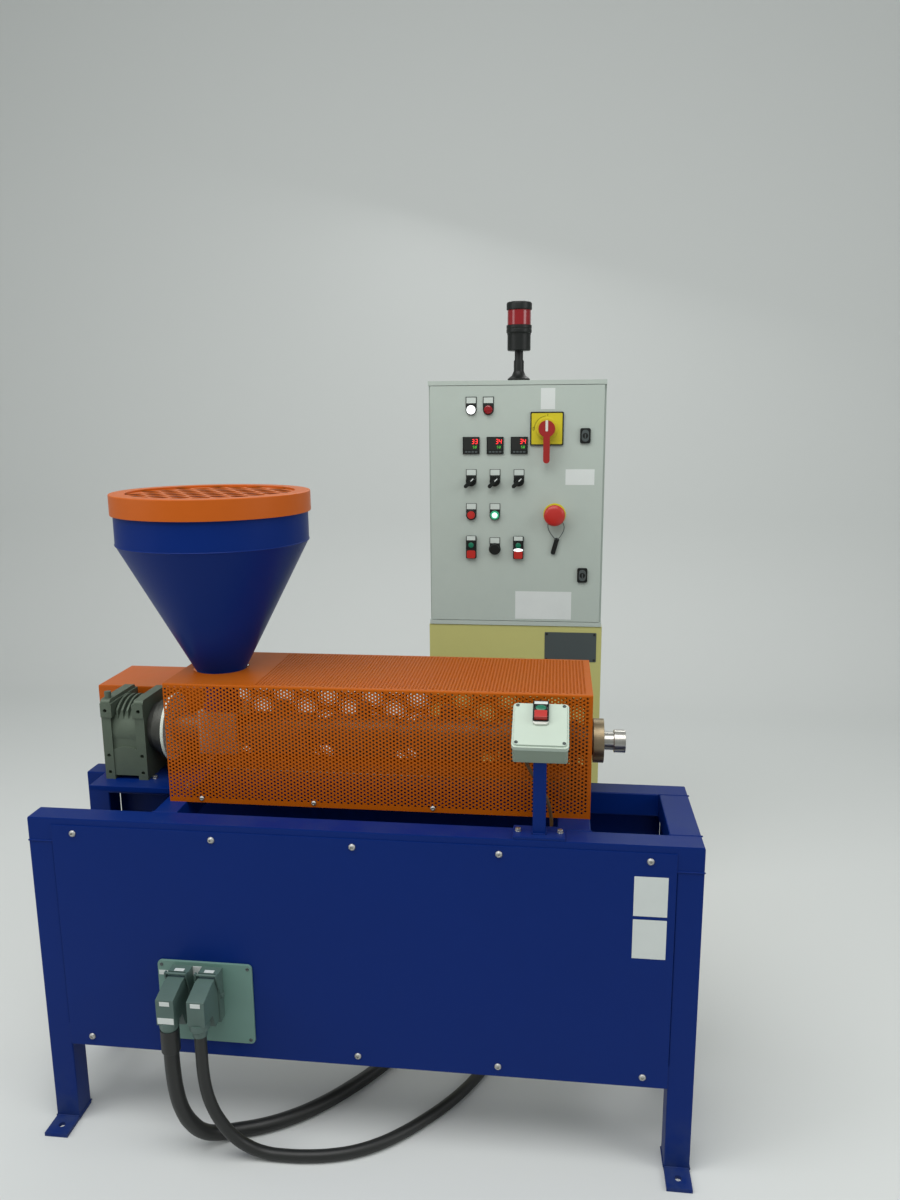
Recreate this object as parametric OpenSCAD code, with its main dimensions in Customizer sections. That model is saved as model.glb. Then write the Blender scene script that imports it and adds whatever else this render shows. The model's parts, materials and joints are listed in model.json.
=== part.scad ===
// Small single-screw plastic extruder with its control cabinet.
// X runs along the barrel from the gearbox to the die, Y from the operator's side to the cabinet, Z up.
// Places are worked out from the frame's front left corner on the floor.

/* [Frame] */
// Length of the machine frame
frame_l = 1332; // [1300:1:1500]
// Depth of the machine frame
frame_d = 290; // [280:1:340]
// Height of the top of the frame
frame_h = 696; // [600:1:800]
// Width of the square tube
tube_w = 50; // [40:1:60]
// Width of the rail across the right end
end_rail_w = 60; // [50:1:80]
// Height of the lower rails above the floor
low_rail_z = 186; // [150:1:250]
// Left edge of the rail under the gearbox
left_cross_x = 243; // [230:1:260]
// Distance of the right cross rail from the right end
right_cross_in = 208; // [190:1:260]
// Width of the right cross rail
right_cross_w = 64; // [50:1:70]
// Thickness of the foot plates
foot_t = 8; // [6:1:15]
// How far a foot plate reaches past its leg
foot_reach = 52; // [40:1:80]
// Diameter of the floor bolt holes
foot_hole_d = 14; // [10:1:18]

/* [Panels] */
// Thickness of the front and rear panels
panel_t = 2; // [1:0.5:4]
// Drop of a panel's upper edge below the top of the frame
panel_drop = 14; // [5:1:30]

/* [Drive] */
// Thickness of the gearbox plate
plate_t = 12; // [8:1:20]
// Left edge of the gearbox plate
plate_x = 60; // [55:1:75]
// Front edge of the gearbox plate
plate_y = 138; // [120:1:160]
// Left side of the gearbox
gear_x = 80; // [75:1:90]
// Width of the gearbox
gear_w = 96; // [90:1:104]
// Front face of the gearbox
gear_y = 177; // [170:1:185]
// Depth of the gearbox
gear_d = 124; // [118:1:130]
// Height of the gearbox
gear_h = 180; // [170:1:190]
// Width of each end flange of the gearbox
gear_flange_w = 21; // [16:1:26]
// Height by which the gearbox stands on its two feet
gear_foot_h = 9; // [5:1:14]
// Number of cooling fins
fin_count = 4; // [3:1:5]
// Thickness of a cooling fin
fin_t = 4; // [3:0.5:5]
// Radius of the gear wheel's housing
wheel_r = 58; // [52:1:60]
// Height of the barrel's axis above the frame
axis_h = 116; // [110:1:120]
// Barrel's axis behind the frame's front
axis_y = 238; // [230:1:242]
// Length of the dark stepped flange
output_l = 39; // [33:1:42]
// Radius of the white thrust flange
thrust_r = 74; // [66:1:80]
// Thickness of the white thrust flange
thrust_t = 7; // [5:1:10]
// Gap between the drive cover and the barrel guard
cover_side_gap = 4; // [2:1:10]
// Depth of the drive cover
cover_d = 170; // [150:1:200]
// Height of the drive cover's top above the frame
cover_top = 182; // [170:1:200]
// Depth of the drive cover's skirt below the top of the frame
cover_skirt = 50; // [30:1:60]
// Left side of the drive cover
cover_x = 5; // [0:1:30]
// Gap between the thrust flange and the drive cover
cover_clear = 2; // [1:1:6]

/* [Barrel] */
// Outer radius of the barrel
barrel_r = 30; // [26:1:34]
// Gap between the barrel guard and the die flange
die_gap = 7; // [4:1:36]
// Radius of the heater bands
band_r = 39; // [37:1:45]
// Length of a heater band
band_l = 140; // [110:1:160]
// Number of heater bands
band_count = 4; // [3:1:4]
// Radius of the die flange
die_flange_r = 46; // [40:1:54]
// Thickness of the die flange
die_flange_t = 22; // [16:1:28]
// Radius of the die's neck
die_neck_r = 19; // [15:1:22]
// Length of the die's neck
die_neck_l = 21; // [15:1:30]
// Radius of the die's nose
die_nose_r = 24; // [23:1:34]
// Length of the die's nose
die_nose_l = 24; // [16:1:36]
// Diameter of the die's opening
die_bore_d = 8; // [4:1:12]
// Length of the feed block
feed_l = 84; // [70:1:100]
// Depth of the feed block
feed_d = 88; // [80:1:100]
// Radius of the feed throat
feed_r = 22; // [14:1:26]

/* [Guard] */
// Left end of the barrel guard
guard_x = 257; // [250:1:262]
// Front of the barrel guard
guard_y = 103; // [90:1:110]
// Depth of the barrel guard
guard_d = 266; // [260:1:280]
// Height of the barrel guard
guard_h = 255; // [240:1:280]
// Thickness of the guard's sheet
guard_t = 1.5; // [1:0.5:3]
// Clearance round what passes through the guard
guard_gap = 4; // [2:1:10]
// Windows along the guard that stand for its fine perforation
window_count = 12; // [8:1:12]
// Rows of windows on each side of the guard
window_rows = 3; // [2:1:4]
// Width of the sheet left between two windows
window_rib = 12; // [8:1:20]

/* [Hopper] */
// Axis of the hopper from the left end
hopper_x = 332; // [325:1:340]
// Outer radius of the hopper
hopper_r = 198; // [185:1:200]
// Height of the hopper's rim above the frame
hopper_top = 628; // [600:1:660]
// Height of the hopper's straight side
hopper_side = 97; // [60:1:120]
// Radius of the hopper's neck
neck_r = 36; // [32:1:40]
// Height of the top of the neck above the frame
neck_top = 219; // [210:1:226]
// Thickness of the hopper's sheet
hopper_t = 2; // [1.5:0.5:4]
// Outer radius of the orange collar
collar_r = 204; // [202:1:215]
// Inner radius of the orange collar
collar_inner_r = 172; // [150:1:180]
// Height of the orange collar
collar_h = 42; // [30:1:60]
// Thickness of the collar's flat ring
collar_t = 4; // [3:1:6]
// Thickness of the collar's skirt
collar_wall = 3; // [2:0.5:4]
// Thickness of the grille
grille_t = 2; // [1:0.5:4]
// Diameter of a hole in the grille
grille_hole_d = 36; // [30:1:38]
// Distance between the holes of the grille
grille_pitch = 43; // [42:1:50]

/* [Start station] */
// Centre of the post from the left end
post_x = 1025; // [1000:1:1040]
// Width of the square post
post_w = 25; // [20:1:30]
// Front of the post
post_y = 14; // [12:1:18]
// Width of the post's base plate
post_plate_w = 100; // [80:1:110]
// Depth of the post's base plate
post_plate_d = 50; // [45:1:56]
// Thickness of the post's base plate
post_plate_t = 6; // [4:1:8]
// Side of the square station box
box_w = 106; // [100:1:120]
// Depth of the station box without its lid
box_d = 38; // [34:1:40]
// Thickness of the lid
lid_t = 14; // [10:1:18]
// Tilt of the lid
box_tilt = 32; // [25:1:40]
// Height of the lid's lower edge above the frame
box_low = 192; // [170:1:240]
// Reach of the lid's lower edge in front of the frame
box_reach = 16; // [14:1:24]
// Width of the twin push button
twin_w = 30; // [28:1:34]
// Length of the twin push button
twin_l = 54; // [50:1:60]
// Travel of a push button
press = 3; // [2:0.5:4]
// Running clearance round buttons and stems
run_gap = 0.3; // [0.2:0.1:0.5]

/* [Power connectors] */
// Left edge of the connector plate
conn_x = 256; // [240:1:270]
// Width of the connector plate
conn_w = 198; // [190:1:210]
// Height of the connector plate's lower edge
conn_z = 222; // [215:1:240]
// Height of the connector plate
conn_h = 178; // [170:1:190]
// Thickness of the connector plate
conn_t = 6; // [4:1:10]
// Distance from the plate's left edge to the first connector
conn_first = 54; // [50:1:60]
// Distance between the connectors
conn_pitch = 62; // [58:1:70]
// Width of a connector
conn_plug_w = 36; // [34:1:40]
// Reach of a plug in front of the frame
plug_reach = 102; // [95:1:110]
// Diameter of the left supply cable
cable_1_d = 30; // [24:1:32]
// Diameter of the right supply cable
cable_2_d = 24; // [20:1:26]
// Diameter of the station's cable
cable_3_d = 7; // [6:1:8]

/* [Cabinet] */
// Left side of the cabinet
cab_x = 680; // [660:1:700]
// Front of the cabinet's door
cab_y = 1017; // [1010:1:1060]
// Width of the cabinet
cab_w = 500; // [480:1:560]
// Depth of the cabinet with its door
cab_d = 250; // [230:1:320]
// Height of the cabinet
cab_h = 700; // [690:1:760]
// Height of the stand
stand_h = 877; // [800:1:920]
// Overhang of the stand past the cabinet's sides
stand_over = 3; // [1:1:10]
// Thickness of the cabinet's sheet
cab_t = 2; // [1.5:0.5:3]
// Thickness of the door
door_t = 18; // [15:1:24]
// Border of the cabinet round the door, at the sides
door_side = 6; // [4:1:10]
// Border of the cabinet round the door, above and below
door_edge = 14; // [10:1:20]
// Gap between the door and the cabinet, taken up by the seal
door_gap = 2.5; // [2:0.5:4]
// Gap between the door and the lips above and below it
lip_gap = 1.5; // [1:0.5:3]
// Width of the door's folded edge
door_fold = 14; // [12:1:18]
// Radius of a hinge pin
hinge_r = 3; // [2:0.5:3.5]
// Hinge pin's axis from the door's left edge
hinge_in = 6; // [5:0.5:6]
// Hinge pin's axis behind the door's front
hinge_back = 8; // [7:0.5:9]

/* [Door devices] */
// Side of a temperature controller
dev_w = 48; // [44:1:52]
// Distance between the device columns
dev_pitch = 68; // [66:1:70]
// First device column from the cabinet's left side
dev_x = 123; // [110:1:130]
// Height of the controllers above the stand
dev_z = 521; // [510:1:530]
// Height of the selectors above the stand
sel_z = 421; // [415:1:430]
// Height of the upper push buttons above the stand
push_z = 324; // [316:1:330]
// Height of the twin push buttons above the stand
low_z = 226; // [220:1:232]
// Radius of a control's bezel
bezel_r = 15; // [14:0.5:16]
// Side of the main switch's plate
switch_w = 92; // [80:1:96]
// Main switch's axis from the cabinet's left side
switch_x = 336; // [330:1:340]
// Height of the main switch's axis above the stand
switch_z = 567; // [560:1:575]
// Emergency stop's axis from the cabinet's left side
stop_x = 361; // [355:1:366]
// Height of the emergency stop above the stand
stop_z = 326; // [320:1:332]
// Radius of the emergency stop's mushroom
stop_r = 30; // [25:1:32]
// Travel of the emergency stop
stop_press = 4; // [3:0.5:6]

/* [Beacon] */
// Beacon's axis from the cabinet's left side
beacon_x = 252; // [240:1:260]
// Beacon's axis behind the cabinet's door
beacon_y = 90; // [80:1:120]
// Height of the beacon
beacon_h = 221; // [200:1:240]
// Radius of the beacon's lens
beacon_r = 34; // [30:1:38]

/* [Hidden] */
fine = 64;
smooth = 96;

// The origin lies under the middle of the machine and cabinet together
origin_x = frame_l / 2;
cab_back = cab_y + cab_d;
origin_y = (cab_back - foot_reach) / 2;

axis_z = frame_h + axis_h;
rail_z = frame_h - tube_w;
right_cross_x = frame_l - right_cross_in - right_cross_w;
panel_z = frame_h - panel_drop;
panel_w = frame_l - 2 * tube_w;
gear_z = frame_h + plate_t;
gear_top = gear_z + gear_h;
gear_back = gear_y + gear_d;
gear_mid_w = gear_w - 2 * gear_flange_w;
output_x = gear_x + gear_w;
thrust_x = output_x + output_l;
barrel_x = thrust_x + thrust_t;
feed_top = axis_z + feed_d / 2 + 6;
hopper_z = frame_h + hopper_top;
neck_z = frame_h + neck_top;
cone_z = hopper_z - hopper_side;
guard_top = frame_h + guard_h;
guard_l = frame_l - right_cross_in - guard_x;
barrel_end = guard_x + guard_l + die_gap;
cone_slope = (hopper_r - neck_r) / (cone_z - neck_z);
guard_hole_r = neck_r + (guard_top - neck_z) * cone_slope + guard_gap;
support_x = right_cross_x + right_cross_w / 2;
door_x = cab_x + door_side;
door_w = cab_w - 2 * door_side;
door_z = stand_h + door_edge;
door_h = cab_h - 2 * door_edge;
door_back = cab_y + door_t;
body_y = door_back + door_gap;
hinge_x = door_x + hinge_in;
hinge_y = cab_y + hinge_back;
cab_top = stand_h + cab_h;

module placed() {
    translate([-origin_x, -origin_y, 0]) children();
}

module tube_along_x(x, y, z, l) {
    translate([x, y, z]) cube([l, tube_w, tube_w]);
}

module tube_along_y(x, y, z, l, w = tube_w) {
    translate([x, y, z]) cube([w, l, tube_w]);
}

module tube_upright(x, y, z, l) {
    translate([x, y, z]) cube([tube_w, tube_w, l]);
}

module cylinder_x(x, y, z, r, l) {
    translate([x, y, z]) rotate([0, 90, 0]) cylinder(h = l, r = r, $fn = smooth);
}

module cylinder_y(x, y, z, r, l, fn = fine) {
    translate([x, y, z]) rotate([-90, 0, 0]) cylinder(h = l, r = r, $fn = fn);
}

module block(x, y, z, size) {
    translate([x, y, z]) cube(size);
}

module base_frame() {
    inner_d = frame_d - 2 * tube_w;
    leg_h = rail_z - foot_t;
    placed() color("royalblue") {
        for (x = [0, frame_l - tube_w])
            for (y = [0, frame_d - tube_w])
                tube_upright(x, y, foot_t, leg_h);
        for (y = [0, frame_d - tube_w]) {
            tube_along_x(0, y, rail_z, frame_l);
            tube_along_x(tube_w, y, low_rail_z, panel_w);
        }
        for (x = [0, frame_l - tube_w])
            tube_along_y(x, tube_w, low_rail_z, inner_d);
        tube_along_y(left_cross_x, tube_w, rail_z, inner_d);
        tube_along_y(right_cross_x, tube_w, rail_z, inner_d, right_cross_w);
        tube_along_y(frame_l - end_rail_w, tube_w, rail_z, inner_d, end_rail_w);
    }
}

module foot_plate() {
    difference() {
        cube([tube_w, tube_w + foot_reach, foot_t]);
        translate([tube_w / 2, foot_reach / 2, -1]) cylinder(h = foot_t + 2, d = foot_hole_d, $fn = fine);
    }
}

module foot_plates() {
    placed() color("royalblue")
        for (x = [0, frame_l - tube_w]) {
            translate([x, -foot_reach, 0]) foot_plate();
            translate([x, frame_d + foot_reach, 0]) mirror([0, 1, 0]) foot_plate();
        }
}

module side_panel(y) {
    block(tube_w, y, low_rail_z, [panel_w, panel_t, panel_z - low_rail_z]);
}

module front_panel() {
    placed() color("royalblue") side_panel(-panel_t);
}

module rear_panel() {
    placed() color("royalblue") side_panel(frame_d);
}

module gearbox_plate() {
    placed() color("royalblue")
        block(plate_x, plate_y, frame_h, [left_cross_x + tube_w - plate_x, frame_d - plate_y, plate_t]);
}

module gearbox_housing() {
    hole_d = 8;
    hole_depth = 14;
    corner = 8;
    cover_h = 74;
    cover_r = 56;
    cover_y = gear_y + 2;
    mid_x = gear_x + gear_flange_w;
    wheel_y = gear_y + gear_d / 2;
    fin_gap = (gear_mid_w - fin_count * fin_t) / (fin_count + 1);
    fin_r = gear_top - 6 - axis_z;
    fin_reach = gear_d / 2 - 12;
    pad_d = 3;
    pad_h = 31;
    pad_w = gear_flange_w + 4;
    pad_z = gear_top - corner - pad_h;
    plug_r = 7;
    plug_h = 15;
    holes_z = [gear_z + 16, gear_z + 54, gear_top - 24];
    placed() color("gray") difference() {
        union() {
            for (x = [gear_x, gear_x + gear_w - gear_flange_w]) {
                translate([x, gear_y, gear_z]) rotate([90, 0, 90]) linear_extrude(gear_flange_w) {
                    square([gear_d, gear_h - corner]);
                    translate([corner, 0]) square([gear_d - 2 * corner, gear_h]);
                    for (y = [corner, gear_d - corner])
                        translate([y, gear_h - corner]) circle(corner, $fn = fine);
                }
            }
            for (x = [gear_x, gear_x + gear_w - pad_w])
                block(x, gear_y - pad_d, pad_z, [pad_w, gear_d + 2 * pad_d, pad_h]);
            translate([gear_x + gear_flange_w / 2, gear_y + 2 * corner, gear_top - 1])
                cylinder(h = plug_h, r = plug_r, $fn = fine);
            intersection() {
                cylinder_y(gear_x + gear_w / 2, cover_y, gear_z + cover_h - cover_r, cover_r, gear_d - 4, smooth);
                block(mid_x - 1, cover_y, gear_z + gear_foot_h, [gear_mid_w + 2, gear_d - 4, cover_h]);
            }
            cylinder_x(mid_x, wheel_y, axis_z, wheel_r, gear_mid_w);
            block(mid_x, gear_y + 6, gear_z + gear_foot_h, [gear_mid_w, gear_d - 12, axis_z - gear_z]);
            for (i = [0:fin_count - 1]) {
                x = mid_x + fin_gap + i * (fin_gap + fin_t);
                intersection() {
                    cylinder_x(x, wheel_y, axis_z, fin_r, fin_t);
                    block(x, wheel_y - fin_reach, axis_z, [fin_t, 2 * fin_reach, fin_r]);
                }
            }
        }
        for (x = [gear_x + gear_flange_w / 2, gear_x + gear_w - gear_flange_w / 2])
            for (z = holes_z)
                cylinder_y(x, gear_y - pad_d - 1, z, hole_d / 2, hole_depth + pad_d);
    }
}

// Three steps that grow towards the thrust flange
module output_flange() {
    small_r = 52;
    step_r = 7;
    step_l = output_l / 3;
    placed() color("dimgray")
        for (i = [0:2])
            cylinder_x(output_x + i * step_l, axis_y, axis_z, small_r + i * step_r, output_l - i * step_l);
}

module thrust_flange() {
    placed() color("gainsboro") cylinder_x(thrust_x, axis_y, axis_z, thrust_r, thrust_t);
}

// Closed sheet box behind the gearbox, hung on the rear panel by two lugs
module drive_cover() {
    lug_w = 40;
    lug_h = 24;
    lug_drop = 6;
    lug_y = frame_d + panel_t;
    cover_z = frame_h - cover_skirt;
    cover_y = axis_y + thrust_r + cover_clear;
    cover_w = guard_x - cover_side_gap - cover_x;
    placed() color("darkorange") {
        block(cover_x, cover_y, cover_z, [cover_w, cover_d, cover_skirt + cover_top]);
        for (x = [cover_x + lug_w, cover_x + cover_w - 2 * lug_w])
            block(x, lug_y, panel_z - lug_h - lug_drop, [lug_w, cover_y - lug_y, lug_h]);
    }
}

module feed_block() {
    placed() color("silver") difference() {
        block(hopper_x - feed_l / 2, axis_y - feed_d / 2, axis_z - feed_d / 2,
              [feed_l, feed_d, feed_top - axis_z + feed_d / 2]);
        cylinder_x(hopper_x - feed_l, axis_y, axis_z, barrel_r, 2 * feed_l);
        translate([hopper_x, axis_y, axis_z]) cylinder(h = feed_d, r = feed_r, $fn = fine);
    }
}

module barrel() {
    placed() color("silver") cylinder_x(barrel_x, axis_y, axis_z, barrel_r, barrel_end - barrel_x);
}

// Mica heater bands with a clamping lug and a terminal cap each
module heater_bands() {
    first_x = hopper_x + feed_l / 2 + 18;
    run = support_x - 14 - first_x;
    step = (run - band_l) / (band_count - 1);
    lug = 14;
    cap_r = 16;
    cap_h = 26;
    placed() color("silver")
        for (i = [0:band_count - 1])
            translate([first_x + i * step, axis_y, axis_z]) difference() {
                union() {
                    rotate([0, 90, 0]) cylinder(h = band_l, r = band_r, $fn = smooth);
                    translate([0, -lug / 2, -band_r - lug]) cube([band_l, lug, 2 * lug]);
                    translate([band_l / 2, 0, 0]) cylinder(h = band_r + cap_h, r = cap_r, $fn = fine);
                }
                translate([-1, 0, 0]) rotate([0, 90, 0]) cylinder(h = band_l + 2, r = barrel_r, $fn = smooth);
                translate([-1, -1, -band_r - lug - 1]) cube([band_l + 2, 2, band_r + lug]);
            }
}

// Saddle that carries the barrel on the right cross rail and rear rail
module barrel_support() {
    foot_w = 52;
    web_t = 12;
    half = 46;
    depth = frame_d - (axis_y - half);
    placed() color("dimgray") difference() {
        union() {
            block(support_x - foot_w / 2, axis_y - half, frame_h, [foot_w, depth, 10]);
            block(support_x - web_t / 2, axis_y - half + 4, frame_h, [web_t, 2 * half - 8, axis_h]);
            cylinder_x(support_x - web_t / 2, axis_y, axis_z, half - 4, web_t);
        }
        cylinder_x(support_x - foot_w, axis_y, axis_z, barrel_r, 2 * foot_w);
    }
}

module die_flange() {
    bolt_ring = die_flange_r - 11;
    placed() color("darkkhaki") difference() {
        cylinder_x(barrel_end, axis_y, axis_z, die_flange_r, die_flange_t);
        for (a = [45:90:315])
            translate([barrel_end + die_flange_t - 10, axis_y, axis_z]) rotate([a, 0, 0])
                translate([0, bolt_ring, 0]) rotate([0, 90, 0]) cylinder(h = 12, d = 9, $fn = fine);
    }
}

module die_nozzle() {
    neck_x = barrel_end + die_flange_t;
    depth = die_neck_l + die_nose_l;
    placed() color("silver") difference() {
        union() {
            cylinder_x(neck_x, axis_y, axis_z, die_neck_r, die_neck_l);
            cylinder_x(neck_x + die_neck_l, axis_y, axis_z, die_nose_r, die_nose_l);
        }
        cylinder_x(neck_x + 5, axis_y, axis_z, die_bore_d / 2, depth);
    }
}

// A plain grid of windows through a sheet of the guard, drawn flat
module windows(l, w, columns, first = 0, skip = 1) {
    step_x = (l - window_rib) / columns;
    step_y = (w - window_rib) / window_rows;
    for (i = [first:skip:columns - 1])
        for (j = [0:window_rows - 1])
            translate([window_rib + i * step_x, window_rib + j * step_y, -guard_t])
                cube([step_x - window_rib, step_y - window_rib, 3 * guard_t]);
}

// Folded sheet over the barrel: open below and to the left, closed at the die
module barrel_guard() {
    inner_d = guard_d - 2 * guard_t;
    hopper_columns = ceil((hopper_x - guard_x + guard_hole_r) * window_count / guard_l);
    placed() color("darkorange") difference() {
        block(guard_x, guard_y, frame_h, [guard_l, guard_d, guard_h]);
        block(guard_x - 1, guard_y + guard_t, frame_h - 1, [guard_l - guard_t + 1, inner_d, guard_h - guard_t + 1]);
        cylinder_x(guard_x + guard_l / 2, axis_y, axis_z, barrel_r + guard_gap, guard_l);
        translate([hopper_x, axis_y, guard_top - 2 * guard_t])
            cylinder(h = 4 * guard_t, r = guard_hole_r, $fn = smooth);
        for (y = [guard_y + guard_t, guard_y + guard_d])
            translate([guard_x, y, frame_h]) rotate([90, 0, 0]) windows(guard_l, guard_h, window_count);
        translate([guard_x, guard_y, guard_top - guard_t])
            windows(guard_l, guard_d, window_count, hopper_columns);
        translate([guard_x + guard_l - guard_t, guard_y, frame_h]) rotate([90, 0, 90])
            windows(guard_d, guard_h, 3, 0, 2);
    }
}

// Sheet hopper with a welded flange on the feed block
module hopper_body() {
    flange_t = 8;
    t = hopper_t;
    throat = feed_r;
    placed() color("royalblue") translate([hopper_x, axis_y, 0]) rotate_extrude($fn = smooth)
        polygon([
            [throat, feed_top], [neck_r + 6, feed_top], [neck_r + 6, feed_top + flange_t],
            [neck_r, feed_top + flange_t], [neck_r, neck_z], [hopper_r, cone_z], [hopper_r, hopper_z],
            [hopper_r - t, hopper_z], [hopper_r - t, cone_z + t / 2], [neck_r - t, neck_z + t / 2],
            [neck_r - t, feed_top + flange_t], [throat, feed_top + flange_t]
        ]);
}

// Sheet lid with staggered round holes, laid on the hopper's rim
module hopper_grille() {
    row_step = grille_pitch * sqrt(3) / 2;
    rows = floor(collar_inner_r / row_step);
    reach = collar_inner_r - grille_hole_d / 4;
    placed() color("darkorange") translate([hopper_x, axis_y, hopper_z]) difference() {
        cylinder(h = grille_t, r = hopper_r, $fn = smooth);
        for (j = [-rows:rows])
            for (i = [-rows:rows]) {
                x = (i + (j % 2 == 0 ? 0 : 0.5)) * grille_pitch;
                y = j * row_step;
                if (norm([x, y]) < reach)
                    translate([x, y, -1]) cylinder(h = grille_t + 2, d = grille_hole_d, $fn = 16);
            }
    }
}

// Angle ring that lies on the lid and reaches down round the hopper
module hopper_collar() {
    collar_z = hopper_z + grille_t + collar_t;
    round_r = 2;
    placed() color("darkorange") translate([hopper_x, axis_y, collar_z]) rotate_extrude($fn = smooth) {
        translate([collar_inner_r, -collar_t]) square([collar_r - collar_inner_r - round_r, collar_t]);
        translate([collar_r - collar_wall, -collar_h]) square([collar_wall, collar_h - round_r]);
        translate([collar_r - round_r, -round_r]) circle(round_r, $fn = 32);
    }
}

// Everything on the station box is drawn flat and then tilted about the lid's lower edge
box_z = frame_h + box_low;
module tilted() {
    translate([post_x, -box_reach, box_z]) rotate([box_tilt, 0, 0]) children();
}

module station_post() {
    post_base = frame_h + post_plate_t;
    placed() color("royalblue") {
        block(post_x - post_plate_w / 2, 0, frame_h, [post_plate_w, post_plate_d, post_plate_t]);
        difference() {
            block(post_x - post_w / 2, post_y, post_base, [post_w, post_w, box_low]);
            tilted() translate([-box_w, -box_w, -box_d - lid_t]) cube([2 * box_w, 3 * box_w, 2 * box_w]);
        }
    }
}

module rounded_box(w, l, h, r) {
    translate([r, 0, 0]) cube([w - 2 * r, l, h]);
    translate([0, r, 0]) cube([w, l - 2 * r, h]);
    for (x = [r, w - r])
        for (y = [r, l - r])
            translate([x, y, 0]) cylinder(h = h, r = r, $fn = 32);
}

module station_box() {
    inset = 1.5;
    placed() color("gainsboro") tilted() translate([-box_w / 2 + inset, inset, -lid_t - box_d])
        rounded_box(box_w - 2 * inset, box_w - 2 * inset, box_d, 5);
}

module station_lid() {
    step = 4;
    rim = 4;
    placed() color("gainsboro") tilted() {
        translate([-box_w / 2, 0, -lid_t]) rounded_box(box_w, box_w, lid_t - rim, 6);
        translate([-box_w / 2 + step, step, -rim])
            rounded_box(box_w - 2 * step, box_w - 2 * step, rim, 6);
    }
}

// Twin push button on the lid: a pocket for each of the two buttons
twin_h = 12;
twin_top_gap = 3;
button_w = 24;
green_l = 15;
red_l = 17;
button_h = 8;
twin_y = box_w - twin_top_gap - twin_l;
red_y = twin_y + 8;
green_y = red_y + red_l + 3;
pocket_floor = 2;

module twin_button_base() {
    pocket_w = button_w + 2 * run_gap;
    placed() color("ivory") tilted() difference() {
        translate([-twin_w / 2, twin_y, 0]) rounded_box(twin_w, twin_l, twin_h, 8);
        translate([-pocket_w / 2, red_y - run_gap, pocket_floor])
            cube([pocket_w, red_l + 2 * run_gap, twin_h]);
        translate([-pocket_w / 2, green_y - run_gap, pocket_floor])
            cube([pocket_w, green_l + 2 * run_gap, twin_h]);
    }
}

module station_button(y, l, proud) {
    low = pocket_floor + press + run_gap;
    tilted() translate([-button_w / 2, y, low]) cube([button_w, l, twin_h - low + proud]);
}

module start_button() {
    placed() color("green") station_button(green_y, green_l, 1);
}

module stop_button() {
    placed() color("red") station_button(red_y, red_l, 4);
}

// Two glands: one under the station box and one on the inner face of the front rail
gland_3_r = 9;
gland_3_l = 14;
gland_box_x = -32;
gland_box_y = 40;
gland_rail_x = 1048;
gland_rail_z = 663;
module station_glands() {
    placed() color("dimgray") {
        tilted() translate([gland_box_x, gland_box_y, -lid_t - box_d - gland_3_l])
            cylinder(h = gland_3_l, r = gland_3_r, $fn = fine);
        cylinder_y(gland_rail_x, tube_w, gland_rail_z, gland_3_r, gland_3_l);
    }
}

// A cord is a tube swept through its route's own points
function unit(v) = v / norm(v);
function cord_dir(p, i, first, last) =
    i == 0 ? first : i == len(p) - 1 ? last : unit(p[i + 1] - p[i - 1]);
function cord_ring(c, t, side, r, n) =
    let (u = unit(cross(side, t)), v = cross(t, u))
    [for (k = [0:n - 1]) c + r * (cos(360 * k / n) * u + sin(360 * k / n) * v)];

module cord(p, d, first, last, side, n = 10) {
    m = len(p);
    rings = [for (i = [0:m - 1]) each cord_ring(p[i], cord_dir(p, i, first, last), side, d / 2, n)];
    walls = [for (i = [0:m - 2]) for (k = [0:n - 1])
        [i * n + k, i * n + (k + 1) % n, (i + 1) * n + (k + 1) % n, (i + 1) * n + k]];
    ends = [[for (k = [n - 1:-1:0]) k], [for (k = [0:n - 1]) (m - 1) * n + k]];
    polyhedron(rings, concat(walls, ends), convexity = 8);
}

// Routes from the plugs to the stand, laid on the floor behind the machine's front legs
route_1 = [
    [310, -86, 296], [310, -86, 250], [311, -86, 205], [314, -84, 160], [321, -78, 115], [333, -66, 75],
    [350, -48, 42], [374, -26, 22], [405, -8, 15], [450, 8, 15], [505, 38, 15], [560, 82, 15],
    [610, 136, 15], [655, 195, 15], [695, 260, 15], [727, 332, 15], [752, 410, 15], [770, 490, 15],
    [782, 570, 15], [790, 650, 15], [795, 730, 15], [798, 800, 17], [799, 860, 26], [800, 915, 44],
    [800, 965, 58], [800, 1000, 60]
];
route_2 = [
    [372, -86, 296], [372, -86, 250], [373, -86, 210], [377, -85, 170], [386, -82, 130], [400, -76, 92],
    [420, -70, 58], [448, -64, 31], [483, -60, 15], [525, -59, 12], [570, -56, 12], [616, -48, 12],
    [662, -33, 12], [706, -9, 12], [748, 24, 12], [788, 64, 12], [826, 108, 12], [860, 156, 12],
    [890, 210, 12], [916, 270, 12], [936, 336, 12], [950, 404, 12], [958, 474, 12], [962, 544, 12],
    [963, 614, 12], [962, 684, 12], [960, 752, 12], [958, 816, 15], [956, 872, 26], [955, 922, 43],
    [955, 966, 57], [955, 1000, 60]
];
route_3 = [
    [993, 52.9, 853.2], [994, 60, 842], [996, 67, 830], [1000, 73, 817], [1006, 77, 803],
    [1014, 80, 789], [1022, 81, 775], [1030, 82, 761], [1038, 83, 745], [1043, 84, 729],
    [1046, 86, 712], [1048, 87, 696], [1048, 85, 681], [1048, 77, 668], [1048, 64, 663]
];
plug_gland_y = 86;

module station_cable() {
    placed() color("saddlebrown")
        cord(route_3, cable_3_d, [0, sin(box_tilt), -cos(box_tilt)], [0, -1, 0], [1, 0.2, 0.3], 8);
}

module supply_cable_1() {
    placed() color("black") cord(route_1, cable_1_d, [0, 0, -1], [0, 1, 0], [1, -1, 0]);
}

module supply_cable_2() {
    placed() color("black") cord(route_2, cable_2_d, [0, 0, -1], [0, 1, 0], [1, -1, 0]);
}

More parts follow.
